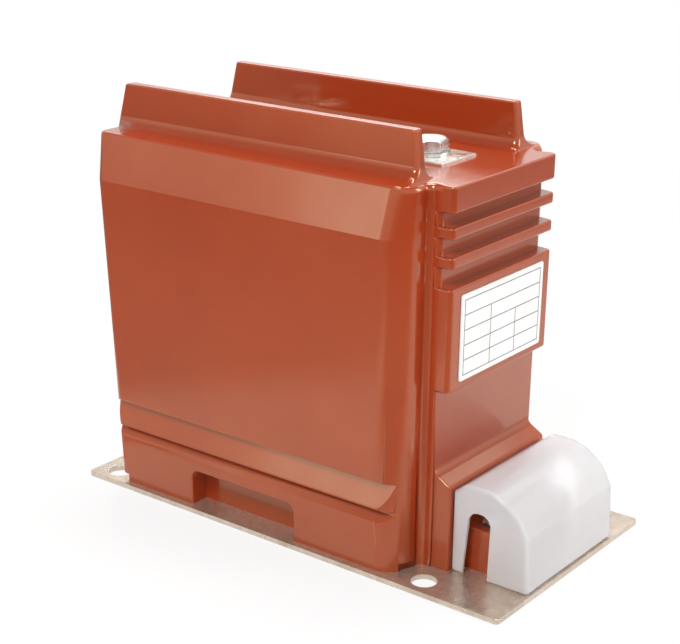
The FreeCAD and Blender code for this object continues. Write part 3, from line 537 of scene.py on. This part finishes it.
def ink_finish(looks):
    made = Finish("Printed rules")
    fade = made.patchy(260.0, 3.0, 0.5, 0.45, 0.75, 0.0, 0.7)
    base = made.mixed(fade, looks.rules, (0.32, 0.24, 0.22))
    return made.wear(base, made.ranged(fade, 0.0, 1.0, 0.45, 0.65))


def inside_finish(name, first, second, scale, stretch, metal, low, high, deep):
    """Finish of a piece inside the casting: two colours in stretched noise, with matching relief."""
    made = Finish(name, Metallic=metal)
    pattern = made.noise(scale, 4.0, 0.6, made.scaled(*stretch))
    base = made.mixed(made.ranged(pattern, 0.35, 0.68, 0.0, 1.0), first, second)
    gloss = made.ranged(pattern, 0.30, 0.70, low, high)
    return made.wear(base, gloss, made.relief(pattern, deep, 0.6))


# How the names of the nodes start, then what inside_finish is given for them
INSIDE = (
    ("primary_bar", "Drawn copper", (0.80, 0.42, 0.27), (0.60, 0.27, 0.15), 3.0, (20, 900, 900),
     1.0, 0.22, 0.40, 0.02 * MM),
    ("core", "Stacked core sheets", (0.34, 0.34, 0.36), (0.16, 0.16, 0.18), 2.0, (2600, 12, 12),
     0.85, 0.35, 0.60, 0.06 * MM),
    ("secondary_winding", "Taped winding", (0.74, 0.52, 0.26), (0.52, 0.31, 0.13), 2.0, (120, 260, 260),
     0.0, 0.45, 0.70, 0.15 * MM),
    ("secondary_leads", "Lead sleeve", (0.86, 0.82, 0.74), (0.70, 0.65, 0.56), 2.0, (900, 900, 300),
     0.0, 0.40, 0.62, 0.05 * MM),
    (("secondary_studs", "plate_inserts"), "Turned brass", (0.80, 0.62, 0.30), (0.62, 0.45, 0.19), 2.0,
     (300, 300, 2600), 1.0, 0.20, 0.38, 0.02 * MM))


def row_tree():
    """Node tree that stands copies of its input in a row, each turned a little."""
    tree = bpy.data.node_groups.new("Row of fasteners", "GeometryNodeTree")
    ports = {}
    for name, kind in (("Geometry", "Geometry"), ("Start", "Vector"), ("Step", "Vector"),
                       ("Count", "Int"), ("Turn", "Float"), ("Seed", "Int"), ("Finish", "Material")):
        socket = tree.interface.new_socket(name, in_out="INPUT", socket_type="NodeSocket" + kind)
        ports[name] = socket.identifier
    tree.interface.new_socket("Geometry", in_out="OUTPUT", socket_type="NodeSocketGeometry")
    given, line, copies, chance, angles, real, coat, out = map(tree.nodes.new, (
        "NodeGroupInput", "GeometryNodeMeshLine", "GeometryNodeInstanceOnPoints",
        "FunctionNodeRandomValue", "ShaderNodeCombineXYZ", "GeometryNodeRealizeInstances",
        "GeometryNodeSetMaterial", "NodeGroupOutput"))
    chance.data_type = "FLOAT"
    for source, output, target, entry in (
            (given, "Count", line, "Count"), (given, "Start", line, "Start Location"),
            (given, "Step", line, "Offset"), (line, 0, copies, "Points"),
            (given, "Geometry", copies, "Instance"), (given, "Turn", chance, 3),
            (given, "Seed", chance, "Seed"), (chance, 1, angles, "Z"), (angles, 0, copies, "Rotation"),
            (copies, 0, real, 0), (real, 0, coat, "Geometry"), (given, "Finish", coat, "Material"),
            (coat, 0, out, 0)):
        tree.links.new(source.outputs[output], target.inputs[entry])
    return tree, ports


def row_of(piece, tree, ports, finish, start, step, count, turn=0.0, seed=1):
    """Repeat a piece in a row through the node tree, as one plain mesh."""
    change = piece.modifiers.new("Row", "NODES")
    change.node_group = tree
    for name, number in (("Start", start), ("Step", step), ("Count", count), ("Turn", turn),
                         ("Seed", seed), ("Finish", finish)):
        change[ports[name]] = number
    return settled(piece)


def hex_screw(name, flats, head, shank, deep, slot=0.0):
    """Hexagon screw standing on the origin, its head chamfered and, if asked, slotted."""
    reach, crown, slope = flats / math.sqrt(3), flats * CROWN, math.tan(math.radians(30))
    piece = prism(name, disc(reach, steps=6, turn=math.pi / 6), 0.0, head)
    cone = [(0, -head), (2 * reach, -head), (2 * reach, head - (reach - crown) * slope - reach * slope),
            (crown, head), (0, head)]
    joined(piece, [lathe("cone", cone)], "INTERSECT")
    if slot:
        outline = box_ring(-slot / 2, slot / 2, -flats, flats)
        cut(piece, prism("slot", outline, head * SLOT_FLOOR, 2 * head))
    rounded(tidy_faces(piece), HEAD_EDGE * flats, 2, 22)
    return smooth(joined(piece, [prism("shank", disc(shank, steps=40), -deep, head * SHANK_TOP)]))


def quarter(radius, steps=4):
    """Rise and offset along a quarter round, from its foot to its side."""
    turns = [math.pi / 2 * i / steps for i in range(steps + 1)]
    return [(radius * (1 - math.cos(turn)), radius * (1 - math.sin(turn))) for turn in turns]


def drawn_in(radius, rise):
    """Offset of a quarter round at a rise from its foot."""
    return radius - math.sqrt(radius ** 2 - max(0.0, radius - rise) ** 2)


def casting_ring(s, z, end, corner, shelf=0.0, around=0.0, turn=0.0, blend=0.5 * MM):
    """Outline of the casting at a height, drawn in at the shelf and round the rest."""
    lean = max(0.0, (z - s.crease_z) / (s.top_z - s.crease_z))
    rise = (z - PLATE_HIGH.z) / (s.top_z - PLATE_HIGH.z)
    half = s.side + (s.top_side - s.side) * lean
    step = half - s.neck_side
    run_out = 0.5 * s.edge
    cove = min(s.cove * step, s.neck - s.gap_round - run_out - s.right)
    points = 12
    near = [(around - s.left - s.left_lean * rise, around - half, s.left_round - around),
            (s.right - turn, around - half, s.corner * step - turn),
            (s.right - turn, turn - s.neck_side, cove + turn)]
    start = s.right + cove + CLEAR
    near += [(start + blend * i / points, turn - s.neck_side + (shelf - turn) * i / points)
             for i in range(points + 1)]
    near.append((end - shelf, shelf - s.neck_side, corner - shelf))
    far = [(x, -y, *radius) for x, y, *radius in reversed(near)]
    return ring(near + far)


def casting_levels(s):
    """Outlines of the casting from below its foot to its top, with rounded shelves."""
    neck = {"end": s.neck, "corner": s.neck_round}
    shelf = {"end": s.end, "corner": s.end_round, "blend": 5 * s.edge}
    gap = {"end": s.neck, "corner": s.gap_round}
    levels, between = [(PLATE_HIGH.z - MM, neck)], neck
    shelves = ((s.pad_low, s.pad_high), (s.rib_two_z, s.rib_two_z + s.rib_thick),
               (s.rib_one_z, s.rib_one_z + s.rib_thick), (s.flange_z, None))
    for low, high in shelves:
        levels.append((low, between))
        levels += [(low + rise, {**shelf, "shelf": inset}) for rise, inset in quarter(s.edge)]
        if high:
            levels += [(high - rise, {**shelf, "shelf": inset})
                       for rise, inset in reversed(quarter(s.edge))]
            levels.append((high, gap))
        between = gap
    radii = (s.edge, s.top_edge, s.turn_edge)
    drops = sorted({rise for radius in radii for rise, _ in quarter(radius)}, reverse=True)
    for drop in drops:
        insets = zip(("shelf", "around", "turn"), (drawn_in(radius, drop) for radius in radii))
        levels.append((s.top_z - drop, {**shelf, **dict(insets)}))
    after = next(i for i, (z, _) in enumerate(levels) if z > s.crease_z)
    (low, first), (high, last) = levels[after - 1:after + 1]
    first_inset, last_inset = first.get("shelf", 0.0), last.get("shelf", 0.0)
    inset = first_inset + (last_inset - first_inset) * (s.crease_z - low) / (high - low)
    levels.insert(after, (s.crease_z, {**first, "shelf": inset}))
    return [(z, casting_ring(s, z, **given)) for z, given in levels]


def casting_solid(s):
    """The casting without its fins: block, shelves, ledge, rim, terminal block and all cuts."""
    foot, under = PLATE_HIGH.z, PLATE_HIGH.z - MM
    body = stack("resin_casting", casting_levels(s))
    cut(body, *side_cuts(s, foot))
    root, wall, above = s.right + s.neck_round, s.neck - CLEAR, s.ledge_root + 2 * s.fillet
    profile = ring([(root, under), (s.ledge, under), (s.ledge, s.ledge_lip, s.ledge_round),
                    (wall, s.ledge_root, s.fillet), (wall, above), (root, above)])
    ledge = prism("ledge", profile, -s.ledge_side, s.ledge_side, "Y")
    rounded(ledge, s.edge, 3, 60)
    outline = box_ring(s.ledge - s.rim_deep, s.ledge + s.rim_deep, -s.rim_side, s.rim_side)
    rim = prism("rim", outline, under, s.rim_top)
    outline = box_ring(s.ledge - 4 * s.edge, s.block_end, -s.block_side, s.block_side, 2 * s.edge)
    block = prism("block", outline, under - 2 * s.edge, s.block_top)
    joined(body, [ledge, rim, rounded(block, s.edge)])
    outline = box_ring(2 * PLATE_LOW.x, 2 * PLATE_HIGH.x, 2 * PLATE_LOW.y, 2 * PLATE_HIGH.y)
    return cut(body, prism("trim", outline, -foot, foot))


def side_cuts(s, foot):
    """Flutes and hand recess of both sides with rounded mouths, and the room over each mounting bolt."""
    cuts = []
    air, out, lip = s.side + CLEAR, s.side + 5 * MM, 0.4 * MM
    above = s.flute_high + 2 * s.edge
    upper = [(out, s.flute_low), (air, s.flute_low), (s.side - s.flute_deep, s.flute_high, lip),
             (air, s.flute_high, s.edge), (air, above), (out, above)]
    above = s.notch_high + 2 * lip
    lower = [(out, s.notch_low), (air, s.notch_low), (s.side - s.notch_deep, s.notch_turn, 5 * lip),
             (s.side - s.notch_deep, s.notch_high), (air, s.notch_high, lip), (air, above), (out, above)]
    mouth = [(s.side - s.recess_deep, 0.0)] + [(air - inset, rise) for rise, inset in quarter(s.edge)]
    mouth.append((out + MM, s.edge))
    for sign in (-1, 1):
        cuts.append(stack("recess", [
            (sign * y, ring([(s.recess_left - flare, -foot), (s.recess_right + flare, -foot),
                             (s.recess_right + flare, s.recess_top + flare, s.recess_round + flare),
                             (s.recess_left - flare, s.recess_top + flare, s.recess_round + flare)]))
            for y, flare in mouth], "Y"))
        for shape in (upper, lower):
            points = ring([(sign * corner[0], *corner[1:]) for corner in shape])
            cuts.append(prism("flute", points, 2 * PLATE_LOW.x, 2 * PLATE_HIGH.x, "X"))
    return cuts + [prism("bolt_room", disc(s.room, x, y), -foot, foot + s.room_high)
                   for x in MOUNTS_X for y in MOUNTS_Y]


def fin_solid(s, foot, sign):
    """One fin, its tip rounded and its root flaring out in a cove."""
    rows = [(foot - s.sunk, 0.0)] + [(foot - CLEAR + rise, flare) for rise, flare in quarter(s.cove, 8)]
    rows += [(s.top_z - rise, -inset) for rise, inset in reversed(quarter(s.edge))]
    levels = []
    for z, flare in rows:
        rise = max(0.0, (z - foot) / (s.top_z - foot))
        left, right, outer, thick = (low + (high - low) * rise for low, high in (
            (s.left, s.left_tip), (s.right, s.right_tip), (s.outer, s.outer_tip), (s.root, s.tip)))
        out, inward, end = (flare * wide / s.cove if flare > 0 else flare
                            for wide in (s.cove_out, s.cove_in, s.cove_right))
        corner, drawn = s.corner * thick, min(0.0, flare)
        left, right, inner = -left - drawn, right + end, outer - thick - inward
        ends = ((left, inner, corner + drawn), (right, inner, corner + end),
                (right, outer + out, corner + end), (left + s.run_in, outer + out), (left, outer + drawn))
        levels.append((z, ring([(x, sign * y, *turn) for x, y, *turn in ends[::sign]])))
    return stack("fin", levels)


def cast_in_rooms():
    """Closed copies of the solids cast into the resin."""
    rooms = []
    for node in CAST_IN:
        shape = bmesh.new()
        shape.from_mesh(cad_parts[node].data)
        bmesh.ops.remove_doubles(shape, verts=shape.verts, dist=HAIR)
        rooms.append(from_bmesh("room", shape))
    return rooms


class TRANSFORMER_OT_casting(bpy.types.Operator):
    """Make the resin casting with its fins and the rooms of the pieces cast in"""
    bl_idname = "transformer.casting"
    bl_label = "Resin casting"

    def execute(self, context):
        scene = context.scene
        body = casting_solid(scene.ct_casting)
        joined(body, [fin_solid(scene.ct_fins, scene.ct_casting.top_z, sign) for sign in (-1, 1)])
        cut(body, *cast_in_rooms())
        dressed(smooth(body), resin_finish(scene.ct_looks), "resin", "resin_body")
        return DONE


class TRANSFORMER_OT_plate(bpy.types.Operator):
    """Make the base plate with its holes and slightly rounded edges"""
    bl_idname = "transformer.plate"
    bl_label = "Base plate"

    def execute(self, context):
        sizes = context.scene.ct_fittings
        outline = box_ring(PLATE_LOW.x, PLATE_HIGH.x, PLATE_LOW.y, PLATE_HIGH.y, sizes.plate_corner)
        plate = prism("mounting_plate", outline, PLATE_LOW.z, PLATE_HIGH.z)
        through = PLATE_HIGH.z * 2
        spots = [(sizes.mount_hole, x, y) for x in MOUNTS_X for y in MOUNTS_Y]
        spots.append((sizes.earth_shank + EARTH_GAP, EARTH.x, EARTH.y))
        holes = [prism("hole", disc(*spot), -through, through) for spot in spots]
        for x in SINKS_X:
            cone = lathe("hole", [(0, -through), (SINK_RIM + through, -through), (SINK_BORE, SINK_DEEP),
                                  (SINK_BORE, through), (0, through)])
            cone.data.transform(Matrix.Translation((x, 0, 0)))
            holes.append(cone)
        cut(plate, *holes)
        rounded(tidy_faces(plate), sizes.plate_edge, 2)
        dressed(smooth(plate), zinc_finish(context.scene.ct_looks), "plate_steel", "base_plate")
        return DONE


def cover_ring(s, inset):
    """The cover seen from the side, drawn in by an inset."""
    foot, back = PLATE_HIGH.z, COVER_LOW.x
    corners = [(back, foot), (back, foot + COVER_BACK - inset)]
    for row, radius in zip(COVER_CORNERS, (s.shoulder, s.brow, s.slope, s.lip)):
        x, z, in_x, in_z, in_radius = row
        corners.append((back + x * MM - in_x * inset, foot + z * MM - in_z * inset,
                        radius - in_radius * inset))
    return ring(corners + [(COVER_HIGH.x - inset, foot)])


class TRANSFORMER_OT_cover(bpy.types.Operator):
    """Make the frosted cover with its wall, rounded sides and cable slots"""
    bl_idname = "transformer.cover"
    bl_label = "Terminal cover"

    def execute(self, context):
        s = context.scene.ct_cover
        foot, side = PLATE_HIGH.z, COVER_HIGH.y
        cover = prism("cover_moulding", cover_ring(s, 0.0), -side, side, "Y")
        rounded(cover, s.bevel, 4, 60)
        outline = box_ring(COVER_LOW.x - SPARE, COVER_HIGH.x + SPARE, -2 * side, 2 * side)
        cut(cover, prism("foot", outline, foot - SPARE, foot))
        hollow = [Vector((x if x > COVER_LOW.x + HAIR else x - s.wall,
                          z if z > foot + HAIR else z - s.wall)) for x, z in cover_ring(s, s.wall)]
        cut(cover, prism("hollow", hollow, s.wall - side, side - s.wall, "Y"))
        back, below, arch = COVER_LOW.x - COVER_SEAT, foot - s.wall, foot + SLOT_TOP
        slot = ring([(back + SLOT_FOOT[0], below), (back + SLOT_ARCH[0], arch, s.slot_round),
                     (back + SLOT_ARCH[1], arch, s.slot_round), (back + SLOT_FOOT[1], below)])
        cut(cover, prism("slot", slot, -2 * side, 2 * side, "Y"))
        rounded(tidy_faces(cover), COVER_EDGE, 2, 45)
        for sign in (-1, 1):
            outline = disc(s.bead, back + BEAD_IN, sign * (side - s.wall), 24)
            joined(cover, [prism("bead", outline, foot + BEAD_LOW, foot + BEAD_HIGH)])
        dressed(smooth(cover), cover_finish(context.scene.ct_looks), "cover_plastic", "terminal_cover")
        return DONE


class TRANSFORMER_OT_nameplate(bpy.types.Operator):
    """Make the nameplate, bare but for the empty rules of its form"""
    bl_idname = "transformer.nameplate"
    bl_label = "Nameplate"

    def execute(self, context):
        sizes, looks = context.scene.ct_fittings, context.scene.ct_looks
        outline = box_ring(NAME_LOW.y, NAME_HIGH.y, NAME_LOW.z, NAME_HIGH.z, NAME_ROUND)
        sheet = rounded(prism("name_sheet", outline, NAME_LOW.x, NAME_HIGH.x, "X"), NAME_EDGE, 2)
        dressed(smooth(sheet), nameplate_finish(looks), "name_sheet", "nameplate")
        left, right = NAME_LOW.y + RULE_INSET, NAME_HIGH.y - RULE_INSET
        low, high = NAME_LOW.z + RULE_INSET, NAME_HIGH.z - RULE_INSET
        width, height, half = right - left, high - low, sizes.rule / 2
        rows = [low + height * (row / RULE_ROWS) for row in range(RULE_ROWS + 1)]
        columns = [(left, high), (right, high)]
        columns += [(left + width * across, low + height * up) for across, up in RULE_COLUMNS]
        rules = [(left - half, right + half, z - half, z + half) for z in rows]
        rules += [(y - half, y + half, low - half, top + half) for y, top in columns]
        shape = bmesh.new()
        for a, b, c, d in rules:
            bmesh.ops.create_cube(shape, size=1.0, matrix=Matrix.LocRotScale(
                Vector((NAME_HIGH.x, (a + b) / 2, (c + d) / 2)), None, Vector((INK, b - a, d - c))))
        dressed(from_bmesh("name_rules", shape), ink_finish(looks), "name_sheet")
        return DONE


class TRANSFORMER_OT_fasteners(bpy.types.Operator):
    """Make the bolts, screws, washers and clamps, those in rows through the node tree"""
    bl_idname = "transformer.fasteners"
    bl_label = "Fasteners"

    def execute(self, context):
        s = context.scene.ct_fittings
        finish, slot = fastener_finish(context.scene.ct_looks), "screw_steel"
        row = (*row_tree(), finish)
        reach = (WASHERS_HIGH.y - WASHERS_LOW.y) / 2
        first, last = WASHERS_LOW.x + reach, WASHERS_HIGH.x - reach
        step = Vector(((last - first) / (s.bolt_count - 1), 0, 0))
        thick = WASHERS_HIGH.z - WASHERS_LOW.z
        edge, bore = WASHER_EDGE, s.bolt_shank + BORE_GAP
        washer = lathe("washer_pair", [(bore, edge), (bore + edge, 0), (reach - edge, 0), (reach, edge),
                                       (reach, thick - edge), (reach - edge, thick), (bore + edge, thick),
                                       (bore, thick - edge)])
        row_of(washer, *row, Vector((first, 0, WASHERS_LOW.z)), step, s.bolt_count)
        dressed(smooth(washer), finish, slot, "primary_washers")
        head = BOLTS_HIGH.z - WASHERS_HIGH.z
        bolt = hex_screw("bolt_pair", s.bolt_flats, head, s.bolt_shank, WASHERS_HIGH.z - BOLTS_LOW.z)
        row_of(bolt, *row, Vector((first, 0, WASHERS_HIGH.z)), step, s.bolt_count, 0.6, 4)
        dressed(bolt, finish, slot, "primary_bolts")
        half = (CLAMPS_HIGH.x - CLAMPS_LOW.x) / 2
        start = Vector((CLAMPS_LOW.x + half, CLAMPS_LOW.y + half, CLAMPS_LOW.z))
        step = Vector((0, (CLAMPS_HIGH.y - CLAMPS_LOW.y - 2 * half) / (s.screw_count - 1), 0))
        thick = CLAMPS_HIGH.z - CLAMPS_LOW.z
        clamp = prism("clamp_row", box_ring(-half, half, -half, half, CLAMP_ROUND), 0.0, thick)
        cut(clamp, prism("bore", disc(s.screw_shank + BORE_GAP), -thick, 2 * thick))
        rounded(tidy_faces(clamp), edge, 2)
        row_of(clamp, *row, start, step, s.screw_count)
        dressed(smooth(clamp), finish, slot, "secondary_clamps")
        top = start + Vector((0, 0, thick))
        screw = hex_screw("screw_row", s.screw_flats, SCREWS_HIGH.z - top.z, s.screw_shank,
                          top.z - SCREWS_LOW.z, SCREW_SLOT)
        row_of(screw, *row, top, step, s.screw_count, 1.0, 7)
        dressed(screw, finish, slot, "secondary_screws")
        foot = PLATE_HIGH.z
        earth = hex_screw("earth_screw_slotted", s.earth_flats, EARTH_HIGH.z - foot, s.earth_shank,
                          foot - EARTH_LOW.z, EARTH_SLOT)
        row_of(earth, *row, Vector((EARTH.x, EARTH.y, foot)), step, 1)
        dressed(earth, finish, slot, "earth_screw")
        worn("plate_screws", finish)
        return DONE


class TRANSFORMER_OT_inside(bpy.types.Operator):
    """Finish the solids that keep their own shape: terminals, studs and all that is cast in"""
    bl_idname = "transformer.inside"
    bl_label = "Terminals and cast-in pieces"

    def execute(self, context):
        finishes = {"primary_terminal": silver_finish(context.scene.ct_looks)}
        finishes.update((starts, inside_finish(*look)) for starts, *look in INSIDE)
        for node in CAST_IN:
            worn(node, next(finish for starts, finish in finishes.items() if node.startswith(starts)))
        return DONE


def lamp(name, place, aim, width, height, watts):
    light = bpy.data.lights.new(name, "AREA")
    light.shape, light.size, light.size_y, light.energy = "RECTANGLE", width, height, watts
    rig = new_piece(name, light)
    rig.location = place
    rig.rotation_euler = (Vector(aim) - Vector(place)).to_track_quat("-Z", "Y").to_euler()


class Shading(Finish):
    """The same kind of nodes in a world or on the floor."""

    def __init__(self, tree):
        self.tree = tree
        tree.nodes.clear()
        path = self.add("ShaderNodeLightPath").outputs
        self.gloss = path["Is Glossy Ray"]
        seen = self.maths("MAXIMUM", path["Is Camera Ray"], self.gloss)
        self.seen = self.maths("MAXIMUM", seen, path["Is Transmission Ray"])

    def maths(self, how, first, second):
        node = self.add("ShaderNodeMath", operation=how)
        self.plug(node.inputs[0], first)
        self.plug(node.inputs[1], second)
        return node.outputs[0]

    def dimmed(self, level):
        """1, but for gloss the level given."""
        loss = self.maths("MULTIPLY", self.gloss, self.maths("SUBTRACT", 1.0, level))
        return self.maths("SUBTRACT", 1.0, loss)

    def along(self, spot, facing):
        """How far a spot lies in a direction."""
        node = self.add("ShaderNodeVectorMath", operation="DOT_PRODUCT")
        self.plug(node.inputs[0], spot)
        self.plug(node.inputs[1], facing)
        return node.outputs["Value"]

    def either(self, factor, first, second, output):
        """Show one shader or the other."""
        mix, out = self.add("ShaderNodeMixShader"), self.add(output)
        for index, source in enumerate((factor, first.outputs[0], second.outputs[0])):
            self.plug(mix.inputs[index], source)
        self.plug(out.inputs[0], mix.outputs[0])


def studio_world(level):
    """White for the camera; in gloss white at the horizon and dimmer overhead; a plain level as light."""
    world = bpy.data.worlds.new("Studio")
    world.use_nodes = True
    made = Shading(world.node_tree)
    facing = made.add("ShaderNodeTexCoord").outputs[0]
    height = made.feed(made.add("ShaderNodeSeparateXYZ"), Vector=facing).outputs[2]
    overhead = made.ranged(height, 0.32, 0.80, 1.0, 0.30)
    plain = made.feed(made.add("ShaderNodeBackground"), Strength=level, Color=WHITE)
    white = made.feed(made.add("ShaderNodeBackground"), Strength=made.dimmed(overhead), Color=WHITE)
    made.either(made.seen, plain, white, "ShaderNodeOutputWorld")
    return world


def floor_paper(tint):
    """White with the object's shadow; in gloss dimmer past the sheet's edge and in a wedge of it."""
    paper = bpy.data.materials.new("Floor paper")
    paper.use_nodes = True
    made = Shading(paper.node_tree)
    spot = made.add("ShaderNodeNewGeometry").outputs["Position"]
    edge = made.ranged(made.along(spot, (-0.78, -0.63, 0.0)), 0.25, 0.32, 1.0, 0.28)
    away = made.feed(made.add("ShaderNodeVectorMath", operation="LENGTH"), Vector=spot).outputs["Value"]
    far = made.ranged(away, 0.45, 0.95, 1.0, 0.35)
    matt = made.feed(made.add("ShaderNodeBsdfDiffuse"), Color=(*tint, 1))
    sides = [made.along(spot, facing) for facing in ((0.985, 0.174, 0.0), (0.342, -0.940, 0.0))]
    wedge = made.maths("MULTIPLY", made.ranged(sides[0], -0.07, 0.07, 0.0, 1.0),
                       made.ranged(sides[1], 0.12, 0.22, 0.0, 0.85))
    level = made.maths("MULTIPLY", made.maths("MINIMUM", edge, far), made.maths("SUBTRACT", 1.0, wedge))
    glow = made.feed(made.add("ShaderNodeEmission"), Strength=made.dimmed(level), Color=WHITE)
    plain = made.ranged(away, 0.30, 0.90, 0.80, 1.0)
    made.either(made.maths("MULTIPLY", made.seen, plain), matt, glow, "ShaderNodeOutputMaterial")
    return paper


class TRANSFORMER_OT_stage(bpy.types.Operator):
    """Set up the pale floor, the lights and the camera"""
    bl_idname = "transformer.stage"
    bl_label = "Stage"

    def execute(self, context):
        scene, s = context.scene, context.scene.ct_stage
        scene.world = studio_world(s.world)
        floor = new_piece("floor", bpy.data.meshes.new("floor"))
        corners = [(x * s.floor_half, y * s.floor_half, -FLOOR_GAP)
                   for x, y in ((-1, -1), (1, -1), (1, 1), (-1, 1))]
        floor.data.from_pydata(corners, [], [(0, 1, 2, 3)])
        floor.data.materials.append(floor_paper(s.floor))
        for softbox in LAMPS:
            lamp(*softbox)

        view = bpy.data.cameras.new("Camera")
        camera = new_piece("Camera", view)
        view.sensor_fit, view.sensor_width, view.lens = "HORIZONTAL", 36.0, s.lens
        view.shift_x, view.shift_y = s.shift
        level = math.cos(s.elevation)
        back = Vector((math.sin(s.azimuth) * level, -math.cos(s.azimuth) * level, math.sin(s.elevation)))
        right = Vector((math.cos(s.azimuth), math.sin(s.azimuth), 0))
        up = back.cross(right)
        cosine, sine = math.cos(s.roll), math.sin(s.roll)
        axes = Matrix((right * cosine + up * sine, up * cosine - right * sine, back))
        camera.matrix_world = Matrix.Translation(s.eye) @ axes.transposed().to_4x4()
        scene.camera = camera
        scene.view_settings.view_transform = "Standard"
        return DONE


class TRANSFORMER_PT_panel(bpy.types.Panel):
    """Lists the steps that make the transformer"""
    bl_label = "Current transformer"
    bl_idname = "TRANSFORMER_PT_panel"
    bl_space_type = "VIEW_3D"
    bl_region_type = "UI"
    bl_category = "Transformer"

    def draw(self, context):
        for step in STEPS:
            self.layout.operator(step.bl_idname)


GROUPS = {"ct_casting": CastingSizes, "ct_fins": FinSizes, "ct_cover": CoverSizes,
          "ct_fittings": FittingSizes, "ct_looks": Finishes, "ct_stage": StageSettings}
STEPS = (TRANSFORMER_OT_stage, TRANSFORMER_OT_casting, TRANSFORMER_OT_plate, TRANSFORMER_OT_cover,
         TRANSFORMER_OT_nameplate, TRANSFORMER_OT_fasteners, TRANSFORMER_OT_inside)


def register():
    for name, group in GROUPS.items():
        bpy.utils.register_class(group)
        setattr(bpy.types.Scene, name, PointerProperty(type=group))
    for step in STEPS + (TRANSFORMER_PT_panel,):
        bpy.utils.register_class(step)


def unregister():
    for step in reversed(STEPS + (TRANSFORMER_PT_panel,)):
        bpy.utils.unregister_class(step)
    for name, group in reversed(GROUPS.items()):
        delattr(bpy.types.Scene, name)
        bpy.utils.unregister_class(group)


def main():
    register()
    for step in STEPS:
        family, name = step.bl_idname.split(".")
        getattr(getattr(bpy.ops, family), name)()


if __name__ == "__main__":
    main()
